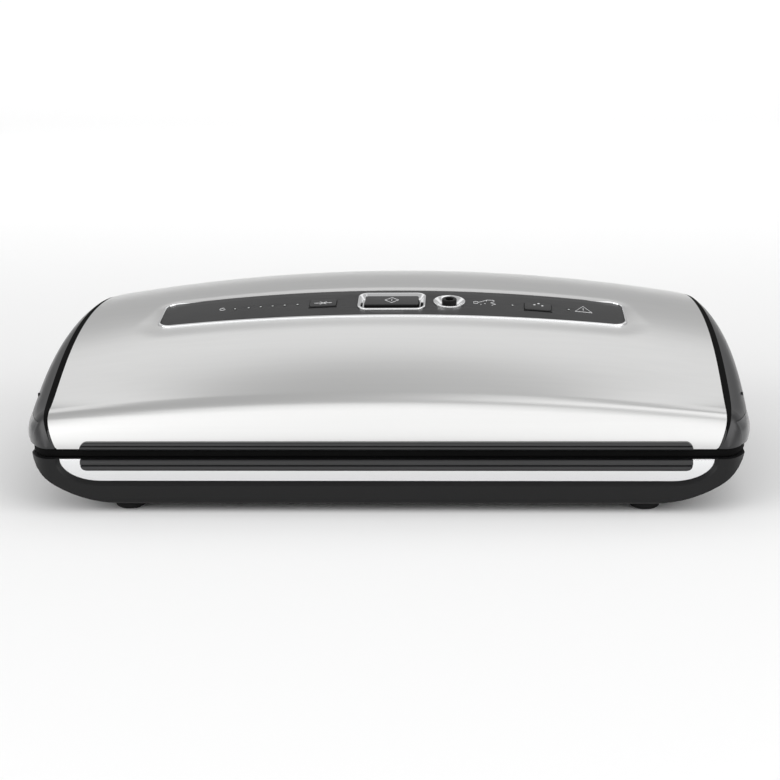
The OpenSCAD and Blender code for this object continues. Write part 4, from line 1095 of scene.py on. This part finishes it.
def build_row_of_bars():
    group, start, end = geometry_group("row_of_bars", Count=INTEGER, First=VECTOR, Step=VECTOR, Bar_size=VECTOR)
    row, bar = add(group, "MeshLine", "MeshCube")
    wire(group, (start.outputs["Count"], row.inputs["Count"]),
         (start.outputs["First"], row.inputs["Start Location"]), (start.outputs["Step"], row.inputs["Offset"]),
         (start.outputs["Bar size"], bar.inputs["Size"]))
    return close_group(group, start, end, bar.outputs["Mesh"], row.outputs[0])


discs_on_points, rings_on_points = build_discs_on_points(), build_rings_on_points()
crosses_on_points, row_of_bars = build_crosses_on_points(), build_row_of_bars()
print("trees", [g.name for g in bpy.data.node_groups if g.bl_idname == "GeometryNodeTree"])


# %% Run a repeating tree
def repeated(name, group, body, material_slot, points=((0, 0, 0),), turns=None, **values):
    """One mesh from a repeating tree; turns gives each point's matrix."""
    work = make_mesh(name + "_work", [Vector(p) * MM for p in points], [])
    if turns is not None:
        angles = [a for turn in turns for a in turn.to_euler()]
        work.data.attributes.new("turn", "FLOAT_VECTOR", "POINT").data.foreach_set("vector", angles)
    as_plain(run_group(work, group, material_slot, **values), name, body, material_slot)


# %% Lamp rims and drops
drops, drop_rise = [(-2.1, 2.0), (0.5, 4.4), (2.8, 1.1)], 0.02
repeated("lamp_rims", rings_on_points, "lid", "panel_grey", [on_strip(x, panel_y) for x in lamp_xs],
         [strip_turn(x) for x in lamp_xs], Radius=0.8 * MM, Thickness=0.18 * MM)
repeated("food_key_drops", discs_on_points, "food_key", "print_pale",
         [on_key(food_x, a, b, drop_rise) for a, b in drops], [strip_turn(food_x)] * len(drops),
         Radius=0.7 * MM, Height=0.12 * MM, Sides=20)

# %% Tray ribs
part_z, part_gap = 33.0, 0.6
base_top, lid_low = part_z - part_gap / 2, part_z + part_gap / 2
channel_mid, channel_deep, tray_t = -60.0, 15.0, 1.6
rib_count, rib_step, rib_size = 23, 11.0, Vector((1.2, 30, 0.7))
first_rib = Vector((-rib_step * (rib_count - 1) / 2, channel_mid, base_top - channel_deep + tray_t + 0.25))
repeated("tray_ribs", row_of_bars, "base", "tray_grey", Count=rib_count, Step=Vector((rib_step, 0, 0)) * MM,
         First=first_rib * MM, Bar_size=rib_size * MM)

# %% Painted shade in cap notches and screw recesses
# Small near-black discs on the end caps paint the shade of a small notch in each cap.
notch_y, notch_z = -68.0, 58.5
notch_x = float(cap_face(notch_y, notch_z)) + 0.05
repeated("cap_notch_shade", discs_on_points, "lid", "painted_shade_black",
         [(side * notch_x, notch_y, notch_z) for side in (-1, 1)],
         [Matrix.Rotation(math.pi / 2, 3, "Y")] * 2, Radius=1.1 * MM, Height=0.7 * MM, Sides=24)
# Flat dark crosses paint the shade inside the cross-head screw recesses under the base and the lid.
screw_low, screw_in, bar_size = 5.3, 9.0, Vector((3.6, 0.7, 0.12))
base_screws = [(x, y, screw_low) for x in (-140, 0, 140) for y in (-16, 58)]
lid_screws = ([(x, lid_front + screw_in, lid_low) for x in (-168, 168)]
              + [(x, lid_back - screw_in, lid_low) for x in (-105, -35, 35, 105)])
for body, spots in (("base", base_screws), ("lid", lid_screws)):
    repeated(body + "_screw_recess_shade", crosses_on_points, body, "painted_shade_black", spots, Bar_size=bar_size * MM)
